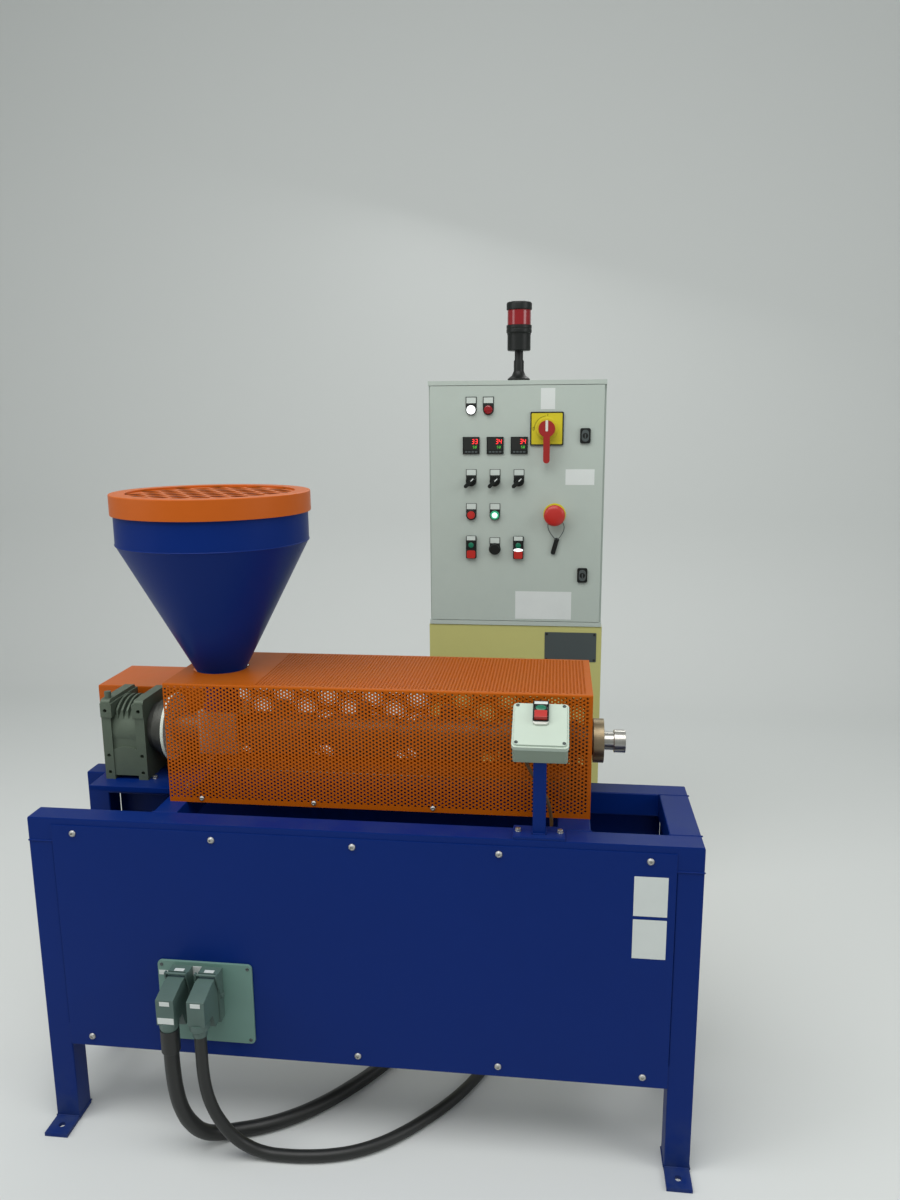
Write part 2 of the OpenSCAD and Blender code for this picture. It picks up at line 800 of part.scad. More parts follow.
module connector_plate() {
    placed() color("darkseagreen") translate([conn_x, -panel_t, conn_z]) rotate([90, 0, 0])
        rounded_box(conn_w, conn_h, conn_t, 10);
}

// Socket housing on the plate for each plug, with a locking bail on two side arms
socket_z = 284;
socket_h = 108;
socket_d = 22;
module connector_sockets() {
    w = conn_plug_w + 6;
    pivot_r = 6;
    pivot_l = 4;
    arm_t = 3;
    bail_r = 2.5;
    pivot_y = -panel_t - conn_t - socket_d / 2;
    pivot_z = socket_z + socket_h / 2;
    bail_y = pivot_y - 23;
    bail_z = socket_z + socket_h + 3;
    placed() color("slategray")
        for (i = [0, 1]) {
            x = conn_x + conn_first + i * conn_pitch;
            block(x - w / 2, -panel_t - conn_t - socket_d, socket_z, [w, socket_d, socket_h]);
            cylinder_x(x - w / 2 - arm_t + 1, bail_y, bail_z, bail_r, w + 2 * arm_t - 2);
            for (side = [-1, 1]) {
                cylinder_x(x + side * (w / 2 + pivot_l / 2) - pivot_l / 2, pivot_y, pivot_z, pivot_r, pivot_l);
                translate([x + side * (w / 2 + arm_t / 2 - 1) - arm_t / 2, 0, 0]) rotate([90, 0, 90])
                    linear_extrude(arm_t) polygon([
                        [pivot_y + 5, pivot_z - 4], [pivot_y - 5, pivot_z - 4], [bail_y - 4, bail_z - 5],
                        [bail_y - 4, bail_z + 3], [bail_y + 4, bail_z + 3]
                    ]);
            }
        }
}

// Angled plug with a cable gland under its front end
module plug_hood(i, cable_d) {
    x = conn_x + conn_first + i * conn_pitch;
    back = panel_t + conn_t + socket_d;
    top = socket_z + socket_h - 4;
    nose_top = top - 12;
    nose_low = 322;
    placed() color("slategray") {
        translate([x - conn_plug_w / 2, 0, 0]) rotate([90, 0, 90]) linear_extrude(conn_plug_w)
            polygon([
                [-back, socket_z + 4], [-back, top], [-back - 28, top], [-plug_reach, nose_top],
                [-plug_reach, nose_low], [-plug_gland_y + 22, nose_low], [-back - 20, socket_z + 4]
            ]);
        translate([x, -plug_gland_y, 296]) cylinder(h = nose_low - 296, r = cable_d / 2 + 2, $fn = fine);
    }
}

module plug_hood_1() {
    plug_hood(0, cable_1_d);
}

module plug_hood_2() {
    plug_hood(1, cable_2_d);
}

module stand_gland(end, cable_d) {
    gland_wall = 4;
    cylinder_y(end[0], end[1], end[2], cable_d / 2 + gland_wall, cab_y + stand_over - end[1]);
}

module cable_glands() {
    placed() color("dimgray") {
        stand_gland(route_1[len(route_1) - 1], cable_1_d);
        stand_gland(route_2[len(route_2) - 1], cable_2_d);
    }
}

module cabinet_stand() {
    placed() color("wheat")
        block(cab_x - stand_over, cab_y + stand_over, 0, [cab_w + 2 * stand_over, cab_d - stand_over, stand_h]);
}

// Open sheet box with an inward flange round the door opening, a lip above and below the door,
// and a hinge pin in each lip
module cabinet_body() {
    depth = cab_back - body_y;
    lip = 22;
    lip_h = door_edge - lip_gap;
    lip_d = door_t + door_gap + cab_t;
    pin_in = 8;
    pin_l = pin_in + lip_gap + cab_t;
    placed() color("whitesmoke") {
        difference() {
            block(cab_x, body_y, stand_h, [cab_w, depth, cab_h]);
            block(cab_x + cab_t, body_y + cab_t, stand_h + cab_t,
                  [cab_w - 2 * cab_t, depth - 2 * cab_t, cab_h - 2 * cab_t]);
            block(cab_x + lip, body_y - 1, stand_h + lip, [cab_w - 2 * lip, cab_t + 2, cab_h - 2 * lip]);
        }
        for (z = [stand_h, cab_top - lip_h])
            block(cab_x, cab_y, z, [cab_w, lip_d, lip_h]);
        for (z = [door_z - lip_gap - cab_t, door_z + door_h - pin_in])
            translate([hinge_x, hinge_y, z]) cylinder(h = pin_l, r = hinge_r, $fn = fine);
    }
}

module mounting_plate() {
    border = 30;
    stud = 12;
    plate = 3;
    y = cab_back - cab_t - stud - plate;
    placed() color("silver") {
        block(cab_x + border, y, stand_h + border, [cab_w - 2 * border, plate, cab_h - 2 * border]);
        for (x = [cab_x + 2 * border, cab_x + cab_w - 2 * border])
            for (z = [stand_h + 2 * border, cab_top - 2 * border])
                cylinder_y(x, y + plate, z, 6, stud);
    }
}

// Columns and rows of the devices on the door
function col_x(i) = cab_x + dev_x + i * dev_pitch;
stem_r = 8;
stop_cx = cab_x + stop_x;
stop_cz = stand_h + stop_z;
switch_cx = cab_x + switch_x;
switch_cz = stand_h + switch_z;
switch_stem_r = 7;
sel_cz = stand_h + sel_z;
low_cz = stand_h + low_z;
push_cz = stand_h + push_z;

// Holes for the turning and sliding stems that pass into the door
module door_holes() {
    for (i = [0:2])
        cylinder_y(col_x(i), cab_y - 1, sel_cz, stem_r + run_gap, door_t);
    cylinder_y(col_x(1), cab_y - 1, low_cz, stem_r + run_gap, door_t);
    cylinder_y(stop_cx, cab_y - 1, stop_cz, stem_r + run_gap, door_t);
    cylinder_y(switch_cx, cab_y - 1, switch_cz, switch_stem_r + run_gap, door_t);
}

// Folded sheet door, open at the back inside its folded edge, with a hole for each hinge pin
module cabinet_door() {
    pan = 2 * cab_t;
    open = 2 * door_fold;
    placed() color("whitesmoke") difference() {
        block(door_x, cab_y, door_z, [door_w, door_t, door_h]);
        block(door_x + cab_t, cab_y + cab_t, door_z + cab_t, [door_w - pan, door_t - pan, door_h - pan]);
        block(door_x + door_fold, cab_y + cab_t, door_z + door_fold, [door_w - open, door_t, door_h - open]);
        door_holes();
        translate([hinge_x, hinge_y, door_z - 1])
            cylinder(h = door_h + 2, r = hinge_r + run_gap, $fn = fine);
    }
}

// Foam seal on the door's folded edge, just clear of the cabinet
module door_seal() {
    seal_in = 4;
    seal_w = 8;
    seal_t = door_gap - run_gap;
    inner = seal_in + seal_w;
    placed() color("black") difference() {
        block(door_x + seal_in, door_back, door_z + seal_in, [door_w - 2 * seal_in, seal_t, door_h - 2 * seal_in]);
        block(door_x + inner, door_back - 1, door_z + inner, [door_w - 2 * inner, seal_t + 2, door_h - 2 * inner]);
    }
}

module door_locks() {
    lock_w = 29;
    lock_h = 42;
    proud = 7;
    lock_in = 57;
    low_lock = 152;
    high_lock = 547;
    lock_x = cab_x + cab_w - lock_in;
    placed() color("black")
        for (z = [stand_h + low_lock, stand_h + high_lock]) {
            translate([lock_x - lock_w / 2, cab_y, z - lock_h / 2]) rotate([90, 0, 0])
                rounded_box(lock_w, lock_h, proud, 5);
            cylinder_y(lock_x, cab_y - proud - 2, z, 8, 2);
        }
}

module temperature_controllers() {
    bezel = 6;
    placed() color("black")
        for (i = [0:2])
            block(col_x(i) - dev_w / 2, cab_y - bezel, stand_h + dev_z - dev_w / 2, [dev_w, bezel, dev_w]);
}

module indicator_lamps() {
    lamp_r = 14;
    lamp_up = 620;
    lamp_pitch = 48.5;
    ring_l = 5;
    lens_l = 8;
    lamp_z = stand_h + lamp_up;
    placed() color("white")
        for (x = [col_x(0), col_x(0) + lamp_pitch]) {
            cylinder_y(x, cab_y - ring_l, lamp_z, lamp_r, ring_l);
            cylinder_y(x, cab_y - ring_l - lens_l, lamp_z, lamp_r - 3, lens_l);
        }
}

// Blank legend holders: a plate with a round lower end behind each bezel and a label strip above it
legend_w = 30;
legend_t = 2;
legend_strip = 18;
module legend(x, z) {
    translate([x, cab_y, z]) rotate([90, 0, 0]) difference() {
        union() {
            cylinder(h = legend_t, r = legend_w / 2, $fn = fine);
            translate([-legend_w / 2, 0, 0]) cube([legend_w, legend_w / 2 + legend_strip, legend_t]);
        }
        translate([0, 0, -1]) cylinder(h = legend_t + 2, r = stem_r + run_gap, $fn = fine);
    }
}

module legend_plates() {
    placed() color("dimgray") {
        for (i = [0:2])
            legend(col_x(i), sel_cz);
        for (i = [0, 1])
            legend(col_x(i), push_cz);
        legend(col_x(1), low_cz);
    }
}

module push_buttons() {
    head_r = 12;
    ring_l = 8;
    head_l = 4;
    twin_z = low_cz - 28;
    twin_body_h = 66;
    twin_d = 11;
    key_w = 21;
    key_z = [3, 29];
    lamp_r = 3.5;
    placed() color("darkred") {
        for (i = [0, 1]) {
            cylinder_y(col_x(i), cab_y - legend_t - ring_l, push_cz, bezel_r, ring_l);
            cylinder_y(col_x(i), cab_y - legend_t - ring_l - head_l, push_cz, head_r, head_l);
        }
        for (i = [0, 2])
            translate([col_x(i), cab_y, twin_z]) rotate([90, 0, 0]) {
                translate([-legend_w / 2, 0, 0]) rounded_box(legend_w, twin_body_h, twin_d, 4);
                for (z = key_z)
                    translate([-key_w / 2, z, 0]) rounded_box(key_w, key_w, twin_d + 2, 3);
                translate([0, twin_body_h - 10, 0]) cylinder(h = twin_d + 1, r = lamp_r, $fn = fine);
            }
    }
}

// Selector: round knob with a lever to one side, its short end as pointer, and a stem into the door
module selector(i, turn) {
    bar_w = 11;
    tip_reach = 20;
    point_reach = 12;
    knob_h = 9;
    bar_h = 11;
    face = legend_t + run_gap;
    placed() color("black") translate([col_x(i), cab_y, sel_cz]) rotate([0, turn, 0]) {
        rotate([90, 0, 0]) translate([0, 0, face]) {
            cylinder(h = knob_h, r = bezel_r, $fn = fine);
            translate([-bar_w / 2, -tip_reach, knob_h - 1]) cube([bar_w, tip_reach + point_reach, bar_h]);
            translate([0, -tip_reach, knob_h - 1]) cylinder(h = bar_h, r = bar_w / 2, $fn = fine);
            translate([0, 0, -face - door_t + 6]) cylinder(h = face + door_t - 5, r = stem_r, $fn = fine);
        }
    }
}

module selector_1() {
    selector(0, 45);
}

module selector_2() {
    selector(1, 45);
}

module selector_3() {
    selector(2, 45);
}

module speed_knob() {
    knob_r = 14;
    face = legend_t + run_gap;
    placed() color("black") translate([col_x(1), cab_y, low_cz]) rotate([90, 0, 0]) {
        translate([0, 0, face]) cylinder(h = 15, r = knob_r, $fn = fine);
        translate([0, 0, face]) cylinder(h = 4, r = knob_r + 3, $fn = fine);
        translate([0, 0, 6 - door_t]) cylinder(h = face + door_t - 5, r = stem_r, $fn = fine);
    }
}

collar_plate_r = 32;
collar_plate_t = 2;
stop_collar_r = 17;
stop_collar_l = 20;
module stop_collar() {
    placed() color("gold") difference() {
        union() {
            cylinder_y(stop_cx, cab_y - collar_plate_t, stop_cz, collar_plate_r, collar_plate_t);
            cylinder_y(stop_cx, cab_y - stop_collar_l, stop_cz, stop_collar_r, stop_collar_l);
        }
        cylinder_y(stop_cx, cab_y - stop_collar_l - 1, stop_cz, stem_r + run_gap, stop_collar_l + 2);
    }
}

module emergency_stop() {
    head_l = 16;
    back = cab_y - stop_collar_l - stop_press - run_gap;
    placed() color("red") {
        translate([stop_cx, back, stop_cz]) rotate([90, 0, 0]) rotate_extrude($fn = smooth)
            polygon([[0, 0], [stop_r - 6, 0], [stop_r, 5], [stop_r, head_l - 5], [stop_r - 7, head_l], [0, head_l]]);
        cylinder_y(stop_cx, back - 1, stop_cz, stem_r, stop_collar_l + stop_press + 8);
    }
}

module main_switch_plate() {
    plate = 5;
    ring_h = 8;
    placed() color("gold") difference() {
        union() {
            translate([switch_cx - switch_w / 2, cab_y, switch_cz - switch_w / 2]) rotate([90, 0, 0])
                rounded_box(switch_w, switch_w, plate, 4);
            cylinder_y(switch_cx, cab_y - plate - ring_h, switch_cz, 30, ring_h + 1);
        }
        cylinder_y(switch_cx, cab_y - plate - ring_h - 1, switch_cz, switch_stem_r + run_gap, plate + ring_h + 2);
    }
}

// Red door-coupled handle: hub with a long lever below it
module main_switch_handle() {
    hub_r = 23;
    hub_h = 22;
    lever_w = 18;
    lever_l = 95;
    lever_h = 18;
    face = 13 + run_gap;
    placed() color("red") translate([switch_cx, cab_y, switch_cz]) rotate([90, 0, 0]) {
        translate([0, 0, face]) cylinder(h = hub_h, r = hub_r, $fn = fine);
        translate([0, 0, 6 - door_t]) cylinder(h = face + door_t - 5, r = switch_stem_r, $fn = fine);
        translate([-lever_w / 2, lever_w / 2 - lever_l, face + hub_h - lever_h])
            cube([lever_w, lever_l - lever_w / 2, lever_h]);
        translate([0, lever_w / 2 - lever_l, face + hub_h - lever_h])
            cylinder(h = lever_h, r = lever_w / 2, $fn = fine);
    }
}

beacon_cx = cab_x + beacon_x;
beacon_cy = cab_y + beacon_y;
lens_low = 155;
lens_high = 197;
module beacon_base() {
    flare = beacon_r - 2;
    tube = 12;
    body_low = 85;
    placed() color("black") translate([beacon_cx, beacon_cy, cab_top]) rotate_extrude($fn = smooth)
        polygon([
            [0, 0], [flare, 0], [flare, 10], [tube + 4, 26], [tube, 30], [tube, body_low],
            [beacon_r, body_low + 4], [beacon_r, 132], [beacon_r + 2, 136], [beacon_r + 2, lens_low],
            [0, lens_low]
        ]);
}

module beacon_lens() {
    placed() color("red") translate([beacon_cx, beacon_cy, cab_top + lens_low])
        cylinder(h = lens_high - lens_low, r = beacon_r, $fn = smooth);
}

module beacon_cap() {
    placed() color("black") translate([beacon_cx, beacon_cy, cab_top + lens_high]) rotate_extrude($fn = smooth)
        polygon([[0, 0], [beacon_r + 2, 0], [beacon_r + 2, beacon_h - lens_high - 5],
                 [beacon_r - 4, beacon_h - lens_high], [0, beacon_h - lens_high]]);
}

base_frame();
foot_plates();
front_panel();
rear_panel();
gearbox_plate();
gearbox_housing();
output_flange();
thrust_flange();
drive_cover();
feed_block();
barrel();
heater_bands();
barrel_support();
die_flange();
die_nozzle();
barrel_guard();
hopper_body();
hopper_grille();
hopper_collar();
station_post();
station_box();
station_lid();
twin_button_base();
start_button();
stop_button();
station_cable();
station_glands();
connector_plate();
connector_sockets();
plug_hood_1();
plug_hood_2();
supply_cable_1();
supply_cable_2();
cable_glands();
cabinet_stand();
cabinet_body();
mounting_plate();
cabinet_door();
door_seal();
door_locks();
temperature_controllers();
indicator_lamps();
legend_plates();
push_buttons();
selector_1();
selector_2();
selector_3();
speed_knob();
stop_collar();
emergency_stop();
main_switch_plate();
main_switch_handle();
beacon_base();
beacon_lens();
beacon_cap();
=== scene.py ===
import json
import math
import bmesh
import bpy
from mathutils import Matrix, Vector


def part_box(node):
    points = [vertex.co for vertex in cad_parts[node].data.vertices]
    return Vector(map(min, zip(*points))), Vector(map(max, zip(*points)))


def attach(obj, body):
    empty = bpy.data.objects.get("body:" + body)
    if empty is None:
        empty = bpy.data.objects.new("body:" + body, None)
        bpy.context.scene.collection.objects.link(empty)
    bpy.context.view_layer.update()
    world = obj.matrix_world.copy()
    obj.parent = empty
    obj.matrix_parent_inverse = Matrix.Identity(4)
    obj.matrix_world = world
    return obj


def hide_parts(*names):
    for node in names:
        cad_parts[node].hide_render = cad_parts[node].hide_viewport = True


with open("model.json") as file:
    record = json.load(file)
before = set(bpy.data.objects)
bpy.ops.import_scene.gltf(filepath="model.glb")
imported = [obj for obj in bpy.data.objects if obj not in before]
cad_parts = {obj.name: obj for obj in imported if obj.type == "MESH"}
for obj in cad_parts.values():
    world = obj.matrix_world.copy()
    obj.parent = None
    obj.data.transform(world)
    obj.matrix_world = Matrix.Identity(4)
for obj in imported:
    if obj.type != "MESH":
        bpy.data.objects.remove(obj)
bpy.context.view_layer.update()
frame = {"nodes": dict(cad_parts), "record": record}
nodes = frame["nodes"]
bodyOf = {name: body for body, members in frame["record"]["behaviour"]["bodies"].items() for name in members}
nodeSlot = {part["node"]: part["material_slot"] for part in frame["record"]["subparts"]}

mm = 0.001
tiny = 1e-5
halfTurn = math.pi
shift = Matrix.Translation
cornerPlace = Vector((-0.666, -0.6075, 0))       # the frame's front left corner on the floor
print("frame loaded,", len(nodes), "nodes")


def at(x, y, z):
    # a place in millimetres from the frame's front left corner on the floor
    return cornerPlace + Vector((x, y, z)) * mm


def measured(place):
    # the other way round: millimetres of a place in metres
    return (place - cornerPlace) / mm


# handling pieces

def deselect():
    if bpy.context.object and bpy.context.object.mode != "OBJECT":
        bpy.ops.object.mode_set(mode="OBJECT")
    bpy.ops.object.select_all(action="DESELECT")


def hold(piece):
    deselect()
    piece.select_set(True)
    bpy.context.view_layer.objects.active = piece


def edit(piece):
    hold(piece)
    bpy.ops.object.mode_set(mode="EDIT")
    return bmesh.from_edit_mesh(piece.data)


def pick(mesh, kind, test):
    # selects only the faces, edges or verts that pass the test
    for part in (mesh.verts, mesh.edges, mesh.faces):
        for item in part:
            item.select = False
    for item in [item for item in getattr(mesh, kind) if test(item)]:
        item.select_set(True)


def leave():
    bpy.ops.object.mode_set(mode="OBJECT")


def pickAll():
    bpy.ops.mesh.select_all(action="SELECT")


def fuse():
    pickAll()
    bpy.ops.mesh.remove_doubles(threshold=tiny)


def settle(name):
    # the new primitive gets its name, and its place goes into its mesh
    piece = bpy.context.object
    piece.name = name
    bpy.ops.object.transform_apply(location=True, rotation=True, scale=True)
    return piece


def applyModifier(piece, kind, **settings):
    hold(piece)
    made = piece.modifiers.new(kind.title(), kind)
    for key, value in settings.items():
        setattr(made, key, value)
    bpy.ops.object.modifier_apply(modifier=made.name)
    return piece


def repeat(piece, count, offset):
    applyModifier(piece, "ARRAY", count=count, use_relative_offset=False, use_constant_offset=True,
                  constant_offset_displace=offset)


def soften(piece, width, steps=2, angle=35):
    # a real edge radius, then smooth shading that keeps flat faces flat
    if width:
        applyModifier(piece, "BEVEL", width=width * mm, segments=steps, limit_method="ANGLE",
                      angle_limit=math.radians(angle))
    hold(piece)
    bpy.ops.object.shade_smooth_by_angle(angle=math.radians(angle))
    return applyModifier(piece, "WEIGHTED_NORMAL", keep_sharp=True)


def block(name, centre, size):
    # the centre is in metres, the size in millimetres
    deselect()
    bpy.ops.mesh.primitive_cube_add(size=1, location=centre)
    bpy.context.object.scale = Vector(size) * mm
    return settle(name)


def plane(name):
    deselect()
    bpy.ops.mesh.primitive_plane_add(size=1, location=(0, 0, 0))
    return settle(name)


def slab(name, low, size, edge=0.4, steps=2):
    # a block from its low corner, in millimetres, with softened edges
    return soften(block(name, at(*low) + Vector(size) * mm / 2, size), edge, steps)


def turnBy(degrees, axis):
    return Matrix.Rotation(math.radians(degrees), 4, axis)


turnTo = {"Z": Matrix.Identity(4), "X": turnBy(90, "Y"), "-Y": turnBy(90, "X"), "Y": turnBy(-90, "X")}


def turned(name, place, profile, axis="Z", steps=48, edge=0.0, angle=35):
    # lathe work: the profile of (radius, height) is drawn point by point and spun round the axis
    piece = plane(name)
    edit(piece)
    pickAll()
    bpy.ops.mesh.merge(type="CENTER")
    bpy.ops.transform.translate(value=(profile[0][0] * mm, 0, profile[0][1] * mm))
    for (r, h), (nextR, nextH) in zip(profile, profile[1:]):
        bpy.ops.mesh.extrude_vertices_move(
            TRANSFORM_OT_translate={"value": ((nextR - r) * mm, 0, (nextH - h) * mm)})
    pickAll()
    bpy.ops.mesh.spin(steps=steps, angle=2 * halfTurn, center=(0, 0, 0), axis=(0, 0, 1))
    fuse()
    bpy.ops.mesh.normals_make_consistent(inside=False)
    leave()
    piece.data.transform(shift(place) @ turnTo[axis])
    return soften(piece, edge, 2, angle)


def moved(piece, name, turn):
    # a copy with its own mesh, turned and shifted within that mesh
    copy = bpy.data.objects.new(name, piece.data.copy())
    bpy.context.collection.objects.link(copy)
    copy.data.transform(turn)
    return copy


def join(name, pieces):
    deselect()
    for piece in pieces:
        piece.select_set(True)
    bpy.context.view_layer.objects.active = pieces[0]
    bpy.ops.object.join()
    pieces[0].name = name
    return pieces[0]


def drop(piece):
    bpy.data.objects.remove(piece)


def cutAway(piece, cutter):
    # takes the cutter's form out of the piece, and the cutter goes
    applyModifier(piece, "BOOLEAN", operation="DIFFERENCE", object=cutter, solver="EXACT")
    drop(cutter)
    return piece


def scatter(name, model, places, axis):
    # copies of one small model, joined; the model's own axis is Z and its foot is at the origin
    return join(name, [moved(model, name + str(i), shift(at(*place)) @ turnTo[axis])
                       for i, place in enumerate(places)])


# materials: sums on a Wire add Math nodes, any other node comes from Coat.node

class Wire:
    def __init__(self, coat, socket):
        self.coat, self.socket = coat, socket

    def maths(self, how, first, second):
        return self.coat.node("ShaderNodeMath", {"operation": how}, {0: first, 1: second})

    def __add__(self, other):
        return self.maths("ADD", self, other)

    def __radd__(self, other):
        return self.maths("ADD", other, self)

    def __sub__(self, other):
        return self.maths("SUBTRACT", self, other)

    def __rsub__(self, other):
        return self.maths("SUBTRACT", other, self)

    def __mul__(self, other):
        return self.maths("MULTIPLY", self, other)


class Coat:
    def __init__(self, name, colour, rough, **fixed):
        self.material = bpy.data.materials.new(name)
        self.material.use_nodes = True
        coats[name] = self
        self.tree = self.material.node_tree
        self.shader = self.tree.nodes["Principled BSDF"]
        self.material.diffuse_color = (*colour, 1)
        self.feed(self.shader.inputs["Base Color"], (*colour, 1))
        self.feed(self.shader.inputs["Roughness"], rough)
        for socket, value in fixed.items():
            self.feed(self.shader.inputs[socket.replace("_", " ")], value)
        self.place = self.node("ShaderNodeTexCoord", out="Object")

    def feed(self, socket, value):
        if isinstance(value, Wire):
            self.tree.links.new(value.socket, socket)
        else:
            socket.default_value = value

    def node(self, kind, settings=None, sockets=None, out=0):
        made = self.tree.nodes.new(kind)
        for key, value in (settings or {}).items():
            setattr(made, key, value)
        for key, value in (sockets or {}).items():
            self.feed(made.inputs[key], value)
        return Wire(self, made.outputs[out])

    def stretched(self, scale):
        return self.node("ShaderNodeMapping", {}, {"Vector": self.place, "Scale": scale})

    def noise(self, scale, detail=4, rough=0.55, where=None):
        return self.node("ShaderNodeTexNoise", {}, {"Vector": where or self.place, "Scale": scale,
                                                    "Detail": detail, "Roughness": rough})

    def ramp(self, value, low, high):
        # 0 below low, 1 above high
        return self.node("ShaderNodeMapRange", {"clamp": True}, {0: value, 1: low, 2: high, 3: 0.0, 4: 1.0})

    def blend(self, amount, first, second):
        return self.node("ShaderNodeMix", {"data_type": "RGBA"}, {0: amount, 6: first, 7: second}, out=2)

    def height(self):
        return self.node("ShaderNodeSeparateXYZ", {}, {0: self.place}, out=2)

    def facingUp(self):
        normal = self.node("ShaderNodeNewGeometry", out="Normal")
        return self.node("ShaderNodeSeparateXYZ", {}, {0: normal}, out=2)

    def bump(self, height, strength, distance):
        self.feed(self.shader.inputs["Normal"], self.node(
            "ShaderNodeBump", {}, {"Strength": strength, "Distance": distance, "Height": height}))

    def paint(self, colour, rough):
        self.feed(self.shader.inputs["Base Color"], colour)
        self.feed(self.shader.inputs["Roughness"], rough)


coats = {}


def shade(colour, factor):
    return (*[min(1.0, part * factor) for part in colour[:3]], 1)


def powderCoat(name, colour, rough, dust, peel=0.10, dusty=0.2, feet=0.0, **fixed):
    # sprayed paint: clouded colour, orange peel, thin dust on ledges, dirt near the floor, a few fine scuffs
    coat = Coat(name, colour, rough, **fixed)
    cloud = coat.noise(2.2, 3)
    fine = coat.noise(34, 5, 0.6)
    base = coat.blend(cloud * 0.7 + fine * 0.3, shade(colour, 0.90), shade(colour, 1.10))
    ledge = coat.ramp(coat.facingUp(), 0.8, 1.0) * coat.ramp(coat.noise(9, 6, 0.65), 0.42, 0.75)
    low = coat.ramp(0.14 - coat.height(), 0.0, 0.14) * coat.ramp(coat.noise(22, 6, 0.7), 0.35, 0.75)
    dirt = ledge * dusty + low * feet
    scuff = coat.ramp(coat.noise(46, 2, 0.4, coat.stretched((0.2, 1.0, 1.0))), 0.76, 0.79)
    clean = 1.0 - dirt
    coat.paint(coat.blend(scuff * 0.10, coat.blend(clean, (*dust, 1), base), shade(colour, 1.6)),
               rough - 0.04 + fine * 0.08 + dirt * 0.3 + scuff * 0.1)
    coat.bump(coat.noise(900, 2) * 0.5 + coat.noise(260, 2) * 0.5, peel, 0.0002)


def castMetal(name, colour, rough, metal, grain=420, depth=0.0004, stain=(0.05, 0.055, 0.04)):
    # sand-cast skin with oil stains in patches
    coat = Coat(name, colour, rough, Metallic=metal)
    cloud = coat.noise(14, 5, 0.6)
    pits = coat.noise(grain, 4, 0.6)
    oil = coat.ramp(coat.noise(20, 6, 0.7), 0.52, 0.72) * 0.45
    coat.paint(coat.blend(oil, coat.blend(cloud, shade(colour, 0.8), shade(colour, 1.25)), (*stain, 1)),
               rough + pits * 0.12 - oil * 0.12)
    coat.bump(pits, 0.35, depth)


def turnedSteel(name, colour, rough, axis, tint=None):
    # fine lathe lines round the axis, with a heat or oil tint; on the die the warm colour and tint are partly
    # a painted orange reflection of the guard
    coat = Coat(name, colour, rough, Metallic=1.0)
    scale = {"X": (900, 8, 8), "Z": (8, 8, 900)}[axis]
    lines = coat.noise(1.0, 3, 0.7, coat.stretched(scale))
    patch = coat.ramp(coat.noise(26, 5), 0.4, 0.65)
    coat.paint(coat.blend(patch * 0.6, coat.blend(lines, shade(colour, 0.82), shade(colour, 1.12)),
                          (*(tint or shade(colour, 0.7)[:3]), 1)), rough + lines * 0.12)
    coat.bump(lines, 0.2, 0.0001)


def moulded(name, colour, rough, grain=1400, depth=0.00008, **fixed):
    # injection-moulded plastic: faint clouding and a fine spark-eroded grain
    coat = Coat(name, colour, rough, **fixed)
    coat.paint(coat.blend(coat.noise(18, 4), shade(colour, 0.94), shade(colour, 1.06)),
               rough - 0.04 + coat.noise(70, 4) * 0.08)
    coat.bump(coat.noise(grain, 2), 0.25, depth)


def glowing(name, colour, strength):
    coat = Coat(name, colour, 0.3, Emission_Color=(*colour, 1), Emission_Strength=strength)
    coat.paint(coat.blend(coat.noise(60, 2), shade(colour, 0.92), shade(colour, 1.08)), 0.3)


matt, dull = {"Specular_IOR_Level": 0.3}, {"Specular_IOR_Level": 0.13}
powderCoat("bluePaint", (0.0008, 0.018, 0.148), 0.38, (0.06, 0.08, 0.12), feet=0.45, **dull)
powderCoat("orangePaint", (0.50, 0.098, 0.003), 0.40, (0.36, 0.20, 0.08), **matt)
powderCoat("guardPaint", (0.42, 0.090, 0.002), 0.44, (0.34, 0.15, 0.04), peel=0.05, **dull)
powderCoat("cabinetPaint", (0.41, 0.47, 0.425), 0.46, (0.36, 0.38, 0.34), peel=0.2, dusty=0.1)
powderCoat("standPaint", (0.47, 0.46, 0.165), 0.46, (0.30, 0.30, 0.22), peel=0.2, dusty=0.1, feet=0.4)
powderCoat("whiteFlange", (0.76, 0.82, 0.72), 0.40, (0.5, 0.5, 0.45), dusty=0.1)
castMetal("castHousing", (0.10, 0.13, 0.095), 0.5, 0.25)
castMetal("darkSteel", (0.085, 0.087, 0.078), 0.42, 0.8, grain=260, stain=(0.03, 0.028, 0.02))
castMetal("enamelledCasting", (0.075, 0.125, 0.11), 0.42, 0.0, grain=700, depth=0.00015,
          stain=(0.06, 0.10, 0.09))
turnedSteel("brightSteel", (0.55, 0.54, 0.50), 0.24, "X")
turnedSteel("barrelSteel", (0.22, 0.21, 0.18), 0.5, "X")
turnedSteel("bandSheet", (0.24, 0.22, 0.18), 0.48, "X", tint=(0.14, 0.10, 0.06))
# the die's warm, brightened colour and brown tint: partly painted orange reflection of the guard, partly the
# steel's own heat tint
turnedSteel("dieSteel", (0.36, 0.30, 0.20), 0.34, "X", tint=(0.20, 0.14, 0.07))
turnedSteel("zincPlate", (0.50, 0.50, 0.48), 0.42, "Z", tint=(0.44, 0.44, 0.42))
moulded("lightGreyPlastic", (0.50, 0.59, 0.50), 0.40)
moulded("greyPlasticBox", (0.26, 0.32, 0.25), 0.45)
moulded("ivoryPlastic", (0.62, 0.64, 0.58), 0.30)
moulded("greenPlastic", (0.004, 0.15, 0.08), 0.32)
moulded("brightGreen", (0.03, 0.42, 0.20), 0.3)
moulded("redPlastic", (0.44, 0.020, 0.014), 0.34)
moulded("lensRed", (0.24, 0.004, 0.008), 0.16, Coat_Weight=0.2)
moulded("handleRed", (0.30, 0.012, 0.010), 0.34)
moulded("yellowPlastic", (0.58, 0.50, 0.012), 0.38)
moulded("blackPlastic", (0.008, 0.010, 0.009), 0.42, **matt)
moulded("legendPlastic", (0.018, 0.020, 0.018), 0.45, **matt)
